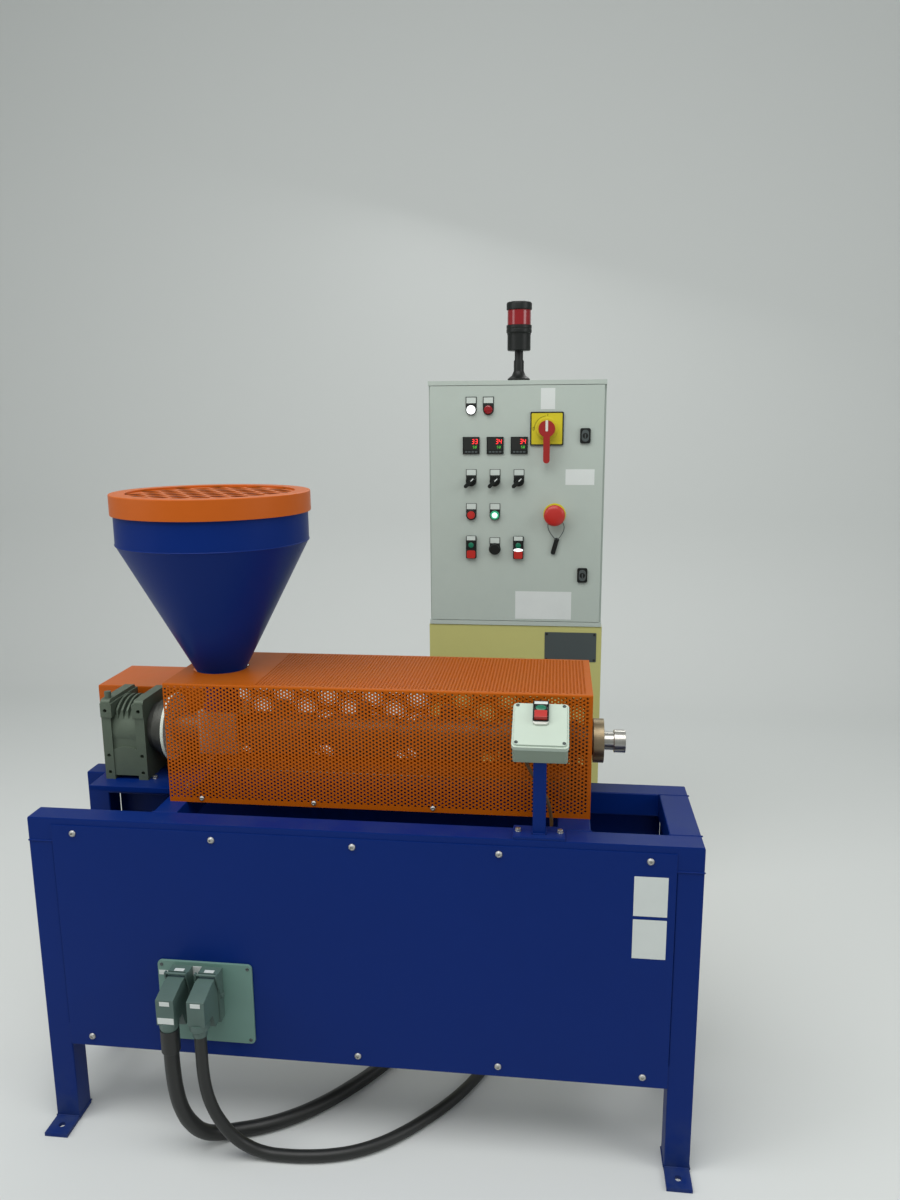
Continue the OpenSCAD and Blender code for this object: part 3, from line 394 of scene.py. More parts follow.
moulded("labelPlastic", (0.52, 0.58, 0.54), 0.45)
moulded("stickerFilm", (0.62, 0.66, 0.64), 0.35)
moulded("plateGrey", (0.06, 0.075, 0.075), 0.4)
moulded("platePlastic", (0.13, 0.24, 0.205), 0.45)
moulded("glandPlastic", (0.016, 0.018, 0.016), 0.5, **matt)
moulded("sealRubber", (0.012, 0.012, 0.012), 0.8, grain=500, depth=0.0004)
moulded("blackCable", (0.011, 0.012, 0.011), 0.46, grain=300, depth=0.0002)
moulded("brownCable", (0.11, 0.055, 0.018), 0.5, grain=400)
glowing("litWhite", (0.95, 0.97, 0.98), 1.1)
glowing("litGreen", (0.55, 1.0, 0.80), 1.0)
glowing("digitRed", (1.0, 0.03, 0.03), 1.6)
glowing("digitGreen", (0.10, 0.55, 0.05), 0.5)
print("materials ready,", len(coats))


def finish(piece, coat, body, slot, *replaced):
    piece.data.materials.clear()
    piece.data.materials.append(coats[coat].material)
    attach(piece, body)
    if replaced:
        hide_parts(*replaced)
    return piece


def coatOf(slot):
    # a coat has its slot's name in camel case, apart from the connectors' metal
    first, *rest = slot.split("_")
    plain = first + "".join(word.title() for word in rest)
    return {"connectorMetal": "enamelledCasting"}.get(plain, plain)


# camera, as the photograph was taken

view = {"place": (0.3844, -2.2184, 1.4801), "turnLeft": 6.75, "down": 11.34, "roll": -0.37,
        "lens": 27.51, "film": 36.0}
lookAlong = turnBy(view["turnLeft"], "Z") @ turnBy(90 - view["down"], "X") @ turnBy(view["roll"], "Z")
cameraData = bpy.data.cameras.new("camera")
cameraData.sensor_fit = "VERTICAL"
cameraData.sensor_height = view["film"]
cameraData.lens = view["lens"]
camera = bpy.data.objects.new("camera", cameraData)
camera.matrix_world = shift(view["place"]) @ lookAlong
bpy.context.collection.objects.link(camera)
bpy.context.scene.camera = camera


# cords, on the routes of their solids

cords = {
    "supplyCable1": {"node": "supply_cable_1", "wide": 30, "stiff": "stiff", "route": [
        (310, -86, 296), (310, -86, 250), (311, -86, 205), (314, -84, 160), (321, -78, 115), (333, -66, 75),
        (350, -48, 42), (374, -26, 22), (405, -8, 15), (450, 8, 15), (505, 38, 15), (560, 82, 15),
        (610, 136, 15), (655, 195, 15), (695, 260, 15), (727, 332, 15), (752, 410, 15), (770, 490, 15),
        (782, 570, 15), (790, 650, 15), (795, 730, 15), (798, 800, 17), (799, 860, 26), (800, 915, 44),
        (800, 965, 58), (800, 1000, 60)]},
    "supplyCable2": {"node": "supply_cable_2", "wide": 24, "stiff": "stiff", "route": [
        (372, -86, 296), (372, -86, 250), (373, -86, 210), (377, -85, 170), (386, -82, 130), (400, -76, 92),
        (420, -70, 58), (448, -64, 31), (483, -60, 15), (525, -59, 12), (570, -56, 12), (616, -48, 12),
        (662, -33, 12), (706, -9, 12), (748, 24, 12), (788, 64, 12), (826, 108, 12), (860, 156, 12),
        (890, 210, 12), (916, 270, 12), (936, 336, 12), (950, 404, 12), (958, 474, 12), (962, 544, 12),
        (963, 614, 12), (962, 684, 12), (960, 752, 12), (958, 816, 15), (956, 872, 26), (955, 922, 43),
        (955, 966, 57), (955, 1000, 60)]},
    "stationCable": {"node": "station_cable", "wide": 7, "stiff": "medium", "route": [
        (993, 52.9, 853.2), (994, 60, 842), (996, 67, 830), (1000, 73, 817), (1006, 77, 803),
        (1014, 80, 789), (1022, 81, 775), (1030, 82, 761), (1038, 83, 745), (1043, 84, 729),
        (1046, 86, 712), (1048, 87, 696), (1048, 85, 681), (1048, 77, 668), (1048, 64, 663)]},
}


def drawCurve(name, route, wide, resolution=5):
    points = [at(*point) for point in route]
    curve = bpy.data.curves.new(name, "CURVE")
    curve.dimensions = "3D"
    curve.bevel_depth = wide * mm / 2
    curve.bevel_resolution = resolution
    curve.resolution_u = resolution
    curve.use_fill_caps = True
    line = curve.splines.new("BEZIER")
    line.bezier_points.add(len(points) - 1)
    for knot, point in zip(line.bezier_points, points):
        knot.co = point
        knot.handle_left_type = knot.handle_right_type = "AUTO"
    piece = bpy.data.objects.new(name, curve)
    bpy.context.collection.objects.link(piece)
    bpy.context.view_layer.update()
    return piece


for name, cord in cords.items():
    node = cord["node"]
    finish(drawCurve(name, cord["route"], cord["wide"]), coatOf(nodeSlot[node]), bodyOf[node],
                        nodeSlot[node], node)
print("cords laid")


# pieces with the solid's own form: softened edges and a finish

ownCoat = {"station_box": "greyPlasticBox", "barrel": "barrelSteel", "main_switch_handle": "handleRed"}
edgeRadius = {
    "base_frame": 3, "foot_plates": 1, "front_panel": 0.8, "rear_panel": 0.8, "gearbox_plate": 1.5,
    "gearbox_housing": 1.6, "output_flange": 1, "thrust_flange": 1.2, "drive_cover": 2.5, "feed_block": 1.5,
    "barrel": 1, "heater_bands": 0.8, "barrel_support": 1.5, "die_flange": 4, "die_nozzle": 1.2,
    "hopper_grille": 0.4, "hopper_collar": 0.8, "station_post": 1.5, "station_box": 1.5,
    "stop_button": 1.2, "station_glands": 0.8, "connector_plate": 1.5, "connector_sockets": 1.2,
    "plug_hood_1": 2.5, "plug_hood_2": 2.5, "cable_glands": 1.5, "cabinet_stand": 3, "cabinet_body": 0.8,
    "mounting_plate": 0.8, "cabinet_door": 0.9, "door_seal": 0.5, "door_locks": 1.2,
    "temperature_controllers": 1, "legend_plates": 0.4, "selector_1": 1.2, "selector_2": 1.2,
    "selector_3": 1.2, "speed_knob": 1, "stop_collar": 0.6, "main_switch_plate": 1,
    "main_switch_handle": 2.5,
}


def dress(nodeName, edge):
    # a merged copy of the solid, with real edge radii, stands for the node
    copy = bpy.data.objects.new(nodeName + ".finished", nodes[nodeName].data.copy())
    bpy.context.collection.objects.link(copy)
    edit(copy)
    fuse()
    bpy.ops.mesh.customdata_custom_splitnormals_clear()
    bpy.ops.mesh.dissolve_limited(angle_limit=math.radians(0.5))
    leave()
    soften(copy, edge)
    slot = nodeSlot[nodeName]
    return finish(copy, ownCoat.get(nodeName, coatOf(slot)), bodyOf[nodeName], slot, nodeName)


dressed = {name: dress(name, edge) for name, edge in edgeRadius.items()}
print("solids dressed,", len(dressed))


# perforated sheets of the barrel guard

# the plain rims of each sheet are given as left, right, low and top
guard = {"pitch": 8.0, "hole": 5.0, "sheet": 1.5, "bend": 3.0, "front": (2.2, 7.6, 9.3, 1.6),
         "rear": (7.6, 2.2, 9.3, 1.6), "top": (3, 7.6, 4, 4), "end": (8, 8, 9.3, 8), "plainEnd": 440,
         "lipStart": 290, "barrelHole": 34, "hopperHole": 58.5, "seenSides": 12, "hiddenSides": 6}


def punched(name, wide, high, margins, sides, spare=(0.5, 0.5)):
    # lies in XY from the origin: a hexagon is bridged to its hole once, set out in staggered columns,
    # and the plain rim is drawn out from the outer cells; spare is the share of the rest left and below
    pitch, radius = guard["pitch"] * mm, guard["hole"] * mm / 2
    column, corner = pitch * math.sqrt(3) / 2, pitch / math.sqrt(3)
    wide, high = wide * mm, high * mm
    left, right, low, top = [edge * mm + radius for edge in margins]
    pairs = int(((wide - left - right) / column + 1) / 2)
    rows = int((high - low - top) / pitch + 0.5)
    firstX = left + (wide - left - right - (2 * pairs - 1) * column) * spare[0]
    firstY = low + (high - low - top - (rows - 0.5) * pitch) * spare[1]
    lastX, lastY = firstX + (2 * pairs - 1) * column, firstY + (rows - 0.5) * pitch
    firstHole, turn = (firstX, firstY, 0), (0, 0, halfTurn / 6)
    deselect()
    bpy.ops.mesh.primitive_circle_add(vertices=6, radius=corner, location=firstHole, rotation=turn)
    sheet = settle(name)
    edit(sheet)
    pickAll()
    if sides == guard["seenSides"]:
        bpy.ops.mesh.subdivide(number_cuts=1)
    bpy.ops.mesh.primitive_circle_add(vertices=sides, radius=radius, location=firstHole, rotation=turn)
    pickAll()
    bpy.ops.mesh.bridge_edge_loops()
    pickAll()
    bpy.ops.mesh.duplicate_move(TRANSFORM_OT_translate={"value": (column, pitch / 2, 0)})
    leave()
    repeat(sheet, rows, (0, pitch, 0))
    repeat(sheet, pairs, (2 * column, 0, 0))
    edit(sheet)
    fuse()
    holeSide = 2 * radius * math.sin(halfTurn / sides)
    rims = (
        (lambda v: v.y > lastY - tiny, (1, 0, 1), (0, high, 0)),
        (lambda v: v.y < firstY + tiny, (1, 0, 1), (0, 0, 0)),
        (lambda v: v.x < firstX - corner / 2 + tiny, (0, 1, 1), (0, 0, 0)),
        (lambda v: v.x > lastX + corner / 2 - tiny, (0, 1, 1), (wide, 0, 0)),
    )
    for test, flatten, centre in rims:
        pick(bmesh.from_edit_mesh(sheet.data), "edges", lambda e: e.is_boundary
             and e.calc_length() > 1.2 * holeSide and all(test(v.co) for v in e.verts))
        bpy.ops.mesh.extrude_region_move(TRANSFORM_OT_translate={"value": (0, 0, 0)})
        bpy.ops.transform.resize(value=flatten, center_override=centre)
    fuse()
    bpy.ops.mesh.normals_make_consistent(inside=False)
    leave()
    if sheet.data.polygons[0].normal.z < 0:
        sheet.data.flip_normals()
    return sheet


def halved(sheet):
    # a long sheet in two pieces, to stay small enough to edit
    middle = sum(corner[0] for corner in sheet.bound_box) / 8
    pick(edit(sheet), "faces", lambda f: f.calc_center_median().x > middle)
    bpy.ops.mesh.separate(type="SELECTED")
    leave()
    other = [piece for piece in bpy.context.selected_objects if piece != sheet][0]
    other.name = sheet.name + "Right"
    sheet.name = sheet.name + "Left"
    return [sheet, other]


def thicken(sheet, place=Matrix.Identity(4)):
    sheet.data.transform(place)
    return applyModifier(sheet, "SOLIDIFY", thickness=guard["sheet"] * mm, offset=-1.0)


def drill(name, place, radius, axis, steps=48, reach=20):
    # a round cutter that reaches to both sides of its place
    return turned(name, place, [(0, -reach), (radius, -reach), (radius, reach), (0, reach)], axis, steps)


def fold(name, y, way):
    # a line along the sheet is spun a quarter turn; way is 1 at the front, -1 at the rear
    piece = plane(name)
    pick(edit(piece), "verts", lambda v: v.co.y > 0)
    bpy.ops.mesh.delete(type="VERT")
    pickAll()
    bpy.ops.transform.resize(value=(guardSize.x * mm, 0, 0), center_override=(0, 0, 0))
    bpy.ops.transform.translate(value=((guardLow.x + guardHigh.x) / 2, y, guardHigh.z - bend * mm))
    bpy.ops.mesh.spin(steps=6, angle=halfTurn / 2, axis=(way, 0, 0),
                      center=(guardLow.x, y + way * bend * mm, guardHigh.z - bend * mm))
    pickAll()
    bpy.ops.mesh.normals_make_consistent(inside=False)
    leave()
    if piece.data.polygons[0].normal.y * way > 0:
        piece.data.flip_normals()
    return soften(thicken(piece), 0, 1, 50)


guardLow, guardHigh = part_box("barrel_guard")
barrelLow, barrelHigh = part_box("barrel")
hopperLow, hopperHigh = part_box("hopper_body")
barrelAxis, hopperAxis = (barrelLow + barrelHigh) / 2, (hopperLow + hopperHigh) / 2
guardStart, guardStop = measured(guardLow), measured(guardHigh)
guardSize = guardStop - guardStart
bend, gauge, upright = guard["bend"], guard["sheet"], turnTo["-Y"]
plainWide = guard["plainEnd"] - guardStart.x
seen, hidden = guard["seenSides"], guard["hiddenSides"]
front = punched("guardFront", guardSize.x, guardSize.z - bend, guard["front"], seen, (0, 1))
rear = punched("guardRear", guardSize.x, guardSize.z - bend, guard["rear"], hidden, (0, 1))
top = punched("guardTop", guardSize.x - plainWide, guardSize.y - 2 * bend, guard["top"], seen)
end = punched("guardEnd", guardSize.y - 2 * gauge, guardSize.z - gauge, guard["end"], hidden)
sheets = [thicken(half, shift(guardLow) @ upright) for half in halved(front)]
sheets.append(thicken(rear, shift((guardHigh.x, guardHigh.y, guardLow.z)) @ turnBy(180, "Z") @ upright))
topPlace = shift((guardLow.x + plainWide * mm, guardLow.y + bend * mm, guardHigh.z))
sheets += [thicken(half, topPlace) for half in halved(top)]
thicken(end, shift((guardHigh.x, guardLow.y + gauge * mm, guardLow.z)) @ turnBy(90, "Z") @ upright)
barrelPlace = (guardHigh.x, barrelAxis.y, barrelAxis.z)
sheets.append(cutAway(end, drill("barrelHole", barrelPlace, guard["barrelHole"], "X")))
plain = slab("guardTopPlain", (guardStart.x, guardStart.y + bend, guardStop.z - gauge),
             (plainWide, guardSize.y - 2 * bend, gauge), 0)
cutAway(plain, drill("hopperHole", (hopperAxis.x, hopperAxis.y, guardHigh.z), guard["hopperHole"], "Z", 96))
sheets.append(soften(plain, 0))
# the rear sheet turns in under the guard to the frame: a guessed lip, a sheet that stands in for the shaded
# dark floor under the guard and hides the pale floor
sheets.append(slab("guardLip", (guardStart.x, guard["lipStart"], guardStart.z),
                   (guardSize.x, guardStop.y - guard["lipStart"], gauge), 0))
sheets += [fold("guardBendFront", guardLow.y, 1), fold("guardBendRear", guardHigh.y, -1)]
for sheet in sheets:
    finish(sheet, "guardPaint", "machine", "orange_paint", "barrel_guard")
print("guard punched,", len(sheets), "sheets")


# hopper: rolled and welded sheet

hopper = {"rim": 1324.0, "cone": 1227.0, "neck": 915.0, "outer": 198.0, "neckOuter": 36.0, "sheet": 2.0,
          "bore": 22.0, "flange": 42.0, "flangeHigh": 8.0, "steps": 128}
rimZ, coneZ, neckZ, outer, neckOuter = [hopper[key] for key in ("rim", "cone", "neck", "outer", "neckOuter")]
inner, neckInner = outer - hopper["sheet"], neckOuter - hopper["sheet"]
footZ = measured(hopperLow).z
flangeZ = footZ + hopper["flangeHigh"]
shell = turned("hopperShell", (hopperAxis.x, hopperAxis.y, 0), [
    (hopper["bore"], footZ), (hopper["flange"], footZ), (hopper["flange"], flangeZ), (neckOuter, flangeZ),
    (neckOuter, neckZ), (outer, coneZ), (outer, rimZ), (inner, rimZ), (inner, coneZ + 1),
    (neckInner, neckZ + 1), (neckInner, flangeZ), (hopper["bore"], flangeZ), (hopper["bore"], footZ)],
    "Z", hopper["steps"], 0, 20)
finish(shell, "bluePaint", "machine", "blue_paint", "hopper_body")
beads = {"coneBead": (outer, coneZ, 1.8), "neckBead": (neckOuter + 0.5, neckZ - 1, 2.0),
         "flangeBead": (neckOuter + 0.5, flangeZ + 0.5, 2.4)}
welded = [turned(name, (hopperAxis.x, hopperAxis.y, z * mm), [
    (radius - wide, 0), (radius - 0.3, wide * 0.9), (radius + wide * 0.6, wide * 0.3),
    (radius + wide * 0.5, -wide * 0.5), (radius - wide * 0.4, -wide), (radius - wide, 0)],
    "Z", hopper["steps"], 0, 60) for name, (radius, z, wide) in beads.items()]
finish(join("hopperWelds", welded), "bluePaint", "machine", "blue_paint")
print("hopper rolled")


# fasteners, each modelled once

def boltHead(name, across, high, washer):
    # hexagon head with a chamfered top on a washer, standing on the origin
    deselect()
    bpy.ops.mesh.primitive_cylinder_add(vertices=6, radius=across * mm / math.sqrt(3), depth=high * mm,
                                        location=(0, 0, (1.6 + high / 2) * mm))
    head = settle(name)
    pick(edit(head), "faces", lambda f: f.normal.z > 0.9)
    bpy.ops.mesh.inset(thickness=across * mm * 0.06)
    bpy.ops.transform.translate(value=(0, 0, high * mm * 0.12))
    leave()
    soften(head, 0.3, 1)
    form = [(0, 0), (washer, 0), (washer, 1.4), (washer - 0.3, 1.7), (0, 1.7)]
    return join(name, [head, turned(name + "Washer", (0, 0, 0), form, "Z", 20)])


def buttonHead(name, radius, high):
    # domed head with a hexagon socket sunk into it
    form = [(0, -0.4), (radius, -0.4), (radius, high * 0.25), (radius * 0.82, high * 0.7),
            (radius * 0.5, high), (0, high)]
    head = turned(name, (0, 0, 0), form, "Z", 18)
    deselect()
    bpy.ops.mesh.primitive_cylinder_add(vertices=6, radius=radius * 0.38 * mm, depth=high * mm,
                                        location=(0, 0, high * mm))
    return soften(cutAway(head, settle("socketCutter")), 0)


def slottedHead(name, radius, high):
    # flat plastic-box screw with a driver slot
    form = [(0, -0.3), (radius, -0.3), (radius, high - 0.4), (radius - 0.4, high), (0, high)]
    slot = block("slotCutter", (0, 0, high * mm), (radius * 3, radius * 0.28, high))
    return soften(cutAway(turned(name, (0, 0, 0), form, "Z", 18), slot), 0)


hexM6 = boltHead("hexM6", 10, 4, 6)
buttonM8 = buttonHead("buttonM8", 7, 4.2)
buttonM6 = buttonHead("buttonM6", 5.2, 3)
boxScrew = slottedHead("boxScrew", 3.6, 1.2)

panelScrews = {"columns": (95, 383, 666, 950, 1233), "lowColumns": (98, 666, 950, 1233), "high": 665,
               "low": 208, "front": -2, "rear": 292}
guardRow = {"columns": (326, 564, 810, 1056), "z": 705, "front": 103, "rear": 369}
upper = [(x, panelScrews["front"], panelScrews["high"]) for x in panelScrews["columns"]]
lower = [(x, panelScrews["front"], panelScrews["low"]) for x in panelScrews["lowColumns"]]
screwRows = {
    "panelBolts": (buttonM8, "-Y", upper + lower),
    "rearPanelBolts": (buttonM8, "Y", [(x, panelScrews["rear"], z) for x in panelScrews["columns"]
                                       for z in (panelScrews["high"], panelScrews["low"])]),
    "guardScrews": (buttonM6, "-Y", [(x, guardRow["front"], guardRow["z"]) for x in guardRow["columns"][:3]]),
    "guardRearScrews": (buttonM6, "Y", [(x, guardRow["rear"], guardRow["z"]) for x in guardRow["columns"]]),
    "plateBolts": (hexM6, "Z", [(985, 25, 702), (1065, 25, 702), (186, 190, 708), (276, 156, 708),
                                (276, 276, 708)]),
}
for name, (model, axis, places) in screwRows.items():
    finish(scatter(name, model, places, axis), "zincPlate", "machine", "bright_steel")
print("bolts set")


# weld beads on the frame and the post: small flattened drops in a row

def weldRow(name, start, end, radius=2.2, pitch=2.6):
    start, end = at(*start), at(*end)
    along = end - start
    deselect()
    bpy.ops.mesh.primitive_uv_sphere_add(segments=8, ring_count=5, radius=radius * mm, location=start)
    bpy.context.object.scale = (1.0, 1.0, 0.8)
    row = settle(name)
    count = max(2, int(along.length / (pitch * mm)) + 1)
    repeat(row, count, along / (count - 1))
    bpy.ops.object.shade_smooth()
    return row


tube = {"wide": 50, "legs": (0, 1282), "foot": 8, "rail": 646, "top": 695.5, "inside": (50, 240),
        "crossing": ((243, 50), (1060, 64), (1272, 60))}
post = {"x": (1012.5, 1037.5), "y": (14, 39), "z": 702.5}
(postLeft, postRight), (postFront, postBack) = post["x"], post["y"]
seams = [((postLeft, y, post["z"]), (postRight, y, post["z"])) for y in post["y"]]
seams += [((x, postFront, post["z"]), (x, postBack, post["z"])) for x in post["x"]]
for x in tube["legs"]:
    inside = x + tube["wide"]
    seams += [((x, 0, z), (inside, 0, z)) for z in (tube["rail"], tube["foot"])]
    seams += [((side, 0, tube["foot"]), (side, tube["wide"], tube["foot"])) for side in (inside, x)]
for x, wide in tube["crossing"]:
    seams += [((x, y, tube["top"]), (x + wide, y, tube["top"])) for y in tube["inside"]]
welds = join("frameWelds", [weldRow("seam" + str(i), *seam) for i, seam in enumerate(seams)])
finish(welds, "bluePaint", "machine", "blue_paint")
print("welds laid")


# start station, built flat on its lid and then tilted with it

station = {"x": 1025, "reach": -16, "low": 888, "tilt": 32, "side": 106, "lid": 14, "step": 3.5, "screw": 9}
tilt = shift(at(station["x"], station["reach"], station["low"])) @ turnBy(station["tilt"], "X")


def flat(name, low, size, corner=0.0, edge=0.5):
    # a block on the lid's own plane; its upright edges get the corner radius first
    piece = block(name, (Vector(low) + Vector(size) / 2) * mm, size)
    if corner:
        pick(edit(piece), "edges", lambda e: abs(e.verts[0].co.z - e.verts[1].co.z) > tiny)
        bpy.ops.mesh.bevel(offset=corner * mm, segments=6, affect="EDGES")
        leave()
    return soften(piece, edge, 2, 30)


def onStation(piece, coat, slot, *replaced, body="machine"):
    piece.data.transform(tilt)
    return finish(piece, coat, body, slot, *replaced)


side, half, step = station["side"], station["side"] / 2, station["step"]
onStation(join("stationLid", [
    flat("lidRim", (-half, 0, -station["lid"]), (side, side, station["lid"] - 4), 8, 1.2),
    flat("lidTop", (-half + step, step, -5), (side - 2 * step, side - 2 * step, 5), 7, 1.6)]),
    "lightGreyPlastic", "light_grey_plastic", "station_lid")
screwPlaces = [(x, y) for x in (station["screw"] - half, half - station["screw"])
               for y in (station["screw"], side - station["screw"])]
onStation(join("stationLidScrews", [
    moved(boxScrew, "lidScrew" + str(i), shift(Vector((x, y, -0.6)) * mm)
          @ Matrix.Rotation(0.7 + i, 4, "Z")) for i, (x, y) in enumerate(screwPlaces)]),
    "plateGrey", "dark_steel")
twinBases = {"twinWhite": ((-15, 49, 0), (30, 28, 5), 7, 0.8),
             "twinSkirt": ((-15, 52, 0), (30, 51, 3), 3, 0.6)}
keyPocket = ((-12.9, 56.6, 0.2), (25.8, 36.7, 12), 0, 0)
twinBars = {"twinLeft": (-15, 56, 2.2, 47, 8, 0.5), "twinRight": (12.8, 56, 2.2, 47, 8, 0.5),
            "twinBar": (-13, 93.2, 26, 1.6, 8, 0.4), "twinEnd": (-13, 101.6, 26, 1.4, 8, 0.4),
            "twinBetween": (-13, 74.4, 26, 2.2, 8, 0.4), "twinFoot": (-13, 54.6, 26, 2, 7, 0.4)}
onStation(join("twinBase", [cutAway(flat(name, *form), flat("keyPocket", *keyPocket))
                            for name, form in twinBases.items()]),
          "ivoryPlastic", "ivory_plastic", "twin_button_base")
onStation(join("twinFrame", [flat(name, (x, y, 0), (wide, long, high), 0, edge)
                             for name, (x, y, wide, long, high, edge) in twinBars.items()]),
          "blackPlastic", "black_plastic")
onStation(flat("twinLabel", (-13, 94.6, 3), (26, 7.2, 4.4), 0, 0.4), "stickerFilm", "ivory_plastic")
onStation(flat("startKey", (-12, 77, 3.4), (24, 15, 5.4), 2, 0.6), "blackPlastic", "black_plastic",
          "start_button", body="start_button")
ovalForm = [(0, 8.6), (7.6, 8.6), (7.6, 9.2), (6.6, 9.8), (4, 10.1), (0, 10.2)]
greenOval = turned("startOval", (0, 0, 0), ovalForm)
greenOval.data.transform(shift(Vector((0, 84.5, 0)) * mm) @ Matrix.Diagonal((1.3, 0.92, 1, 1)))
onStation(greenOval, "greenPlastic", "green_plastic", body="start_button")
print("station built")


# power connectors: screws, blank tags, stepped gland and cable sleeve

plug = {"columns": (310, 372), "y": -86, "screwX": (265, 445), "screwZ": (231, 391), "plateFace": -8,
        "sleeve": [(15.2, 306), (18.5, 306), (18.5, 258), (17.5, 256), (15.2, 256)],
        "necks": ([(15.4, 324), (19, 324), (19, 312), (17.5, 308), (15.4, 308)],
                  [(12.4, 324), (20, 324), (20, 312), (14.5, 306), (14.5, 296), (12.4, 296)])}
tags = {"plateTags": [((326, -8.6, 371), (52, 0.7, 20)), ((259, -8.6, 368), (19, 0.7, 10)),
                      ((300, -29, 392), (20, 9, 0.6)), ((362, -29, 392), (20, 9, 0.6))],
        "plugTags1": [((300, -102.6, 364), (20, 0.7, 9)), ((294, -102.6, 325), (33, 0.7, 13))],
        "plugTags2": [((362, -102.6, 364), (20, 0.7, 9))]}
plateScrews = [(x, plug["plateFace"], z) for x in plug["screwX"] for z in plug["screwZ"]]
finish(scatter("connectorScrews", boxScrew, plateScrews, "-Y"), "plateGrey", "machine", "dark_steel")
tagPieces = {name: finish(join(name, [slab("tag", low, size, 0.2, 1) for low, size in group]),
                          "stickerFilm", "machine", "ivory_plastic") for name, group in tags.items()}
plugAxes = [at(x, plug["y"], 0) for x in plug["columns"]]
sleeve = turned("cableSleeve", plugAxes[0], plug["sleeve"], "Z", 40)
finish(sleeve, "blackCable", "machine", "black_plastic")
necks = [turned("plugNeck" + str(i + 1), plugAxes[i], form, "Z", 40, 0.4)
         for i, form in enumerate(plug["necks"])]
for neck in necks:
    finish(neck, "enamelledCasting", "machine", "connector_metal")
print("connectors detailed")


# door devices

door = {"face": 1017, "legend": 1015, "columns": (803, 871, 939), "lampColumns": (803, 851.5), "lamps": 1497,
        "controllers": 1398, "selectors": 1298, "buttons": 1201, "twinLabels": 1134.5, "low": 1103}
face, legendFace = door["face"], door["legend"]
left, middle, right = door["columns"]


def onDoor(name, x, z, wide, high, proud, edge=0.3, corner=0.0, back=face):
    # a flat piece centred at x, z that stands out of the door's face
    piece = flat(name, (-wide / 2, -high / 2, 0), (wide, high, proud), corner, edge)
    piece.data.transform(shift(at(x, back, z)) @ turnTo["-Y"])
    return piece


def turnedOnDoor(name, x, z, profile, steps=40, edge=0.0, angle=35):
    return turned(name, at(x, face, z), profile, "-Y", steps, edge, angle)


def ofDoor(piece, coat, slot, *replaced):
    return finish(piece, coat, "door", slot, *replaced)


label = {"up": 24, "lampUp": 26, "form": (26.6, 15.6, 0.7, 0.25, 0, legendFace),
         "twinForm": (25, 12, 0.7, 0.25, 0, face - 11)}
labelPlaces = [(x, door["selectors"] + label["up"]) for x in door["columns"]]
labelPlaces += [(x, door["buttons"] + label["up"]) for x in (left, middle)]
labelPlaces += [(middle, door["low"] + label["up"])]
labelPlaces += [(x, door["lamps"] + label["lampUp"]) for x in door["lampColumns"]]
labels = [onDoor("label" + str(i), x, z, *label["form"]) for i, (x, z) in enumerate(labelPlaces)]
labels += [onDoor("twinLabel" + str(i), x, door["twinLabels"], *label["twinForm"])
           for i, x in enumerate((left, right))]
ofDoor(join("legendLabels", labels), "labelPlastic", "ivory_plastic")

# lamps: legend holder, ring and lens
lamp = {"holder": [(0, 0), (15, 0), (15, 2), (0, 2)],
        "ring": [(13, 2), (14.6, 2), (14.6, 4.5), (13.6, 5.5), (12.4, 5.5), (12.4, 2)],
        "lens": [(0, 2), (12.4, 2), (12.4, 8), (11.4, 11.5), (8, 12.8), (0, 13)]}
holders, rings = [], []
for i, x in enumerate(door["lampColumns"]):
    holders.append(onDoor("lampHolder" + str(i), x, door["lamps"] + 18, 31, 36, 2, 0.4))
    holders.append(turnedOnDoor("lampRound" + str(i), x, door["lamps"], lamp["holder"], 40, 0.3))
    rings.append(turnedOnDoor("lampRing" + str(i), x, door["lamps"], lamp["ring"]))
ofDoor(join("lampHolders", holders), "legendPlastic", "legend_plastic")
ofDoor(join("lampRings", rings), "blackPlastic", "black_plastic", "indicator_lamps")
for name, x, coat, slot in (("lampWhite", door["lampColumns"][0], "litWhite", "ivory_plastic"),
                            ("lampRed", door["lampColumns"][1], "lensRed", "lens_red")):
    ofDoor(turnedOnDoor(name, x, door["lamps"], lamp["lens"]), coat, slot, "indicator_lamps")

# push buttons
button = {"bezel": [(11.5, 2), (15, 2), (15, 6.5), (13.8, 9.5), (12.2, 10), (11.5, 9)],
          "key": [(0, 4), (11.3, 4), (11.3, 12), (10.4, 13.6), (0, 14)],
          "greenRing": [(8, 4), (12.8, 4), (12.8, 11), (11.8, 12.4), (8, 12.6)],
          "greenLit": [(0, 4), (8, 4), (8, 12.6), (6, 13.4), (0, 13.8)],
          "twinGreen": [(0, 12), (7.6, 12), (7.6, 13), (6.6, 13.6), (0, 13.8)],
          "twinLamp": [(0, 10), (13.4, 10), (13.4, 12.6), (11, 13.8), (0, 14.2)],
          "body": 1108, "upper": 1114.5, "lower": 1087.5, "strip": 1101}
bezels = [turnedOnDoor("bezel" + str(i), x, door["buttons"], button["bezel"])
          for i, x in enumerate((left, middle))]
ofDoor(join("buttonBezels", bezels), "blackPlastic", "black_plastic", "push_buttons")
roundButtons = (("buttonRed", left, "key", "redPlastic", "red_plastic"),
                ("buttonGreenRing", middle, "greenRing", "brightGreen", "green_plastic"),
                ("buttonGreenLit", middle, "greenLit", "litGreen", "green_plastic"))
for name, x, form, coat, slot in roundButtons:
    ofDoor(turnedOnDoor(name, x, door["buttons"], button[form]), coat, slot, "push_buttons")
bodies, greens, reds = [], [], []
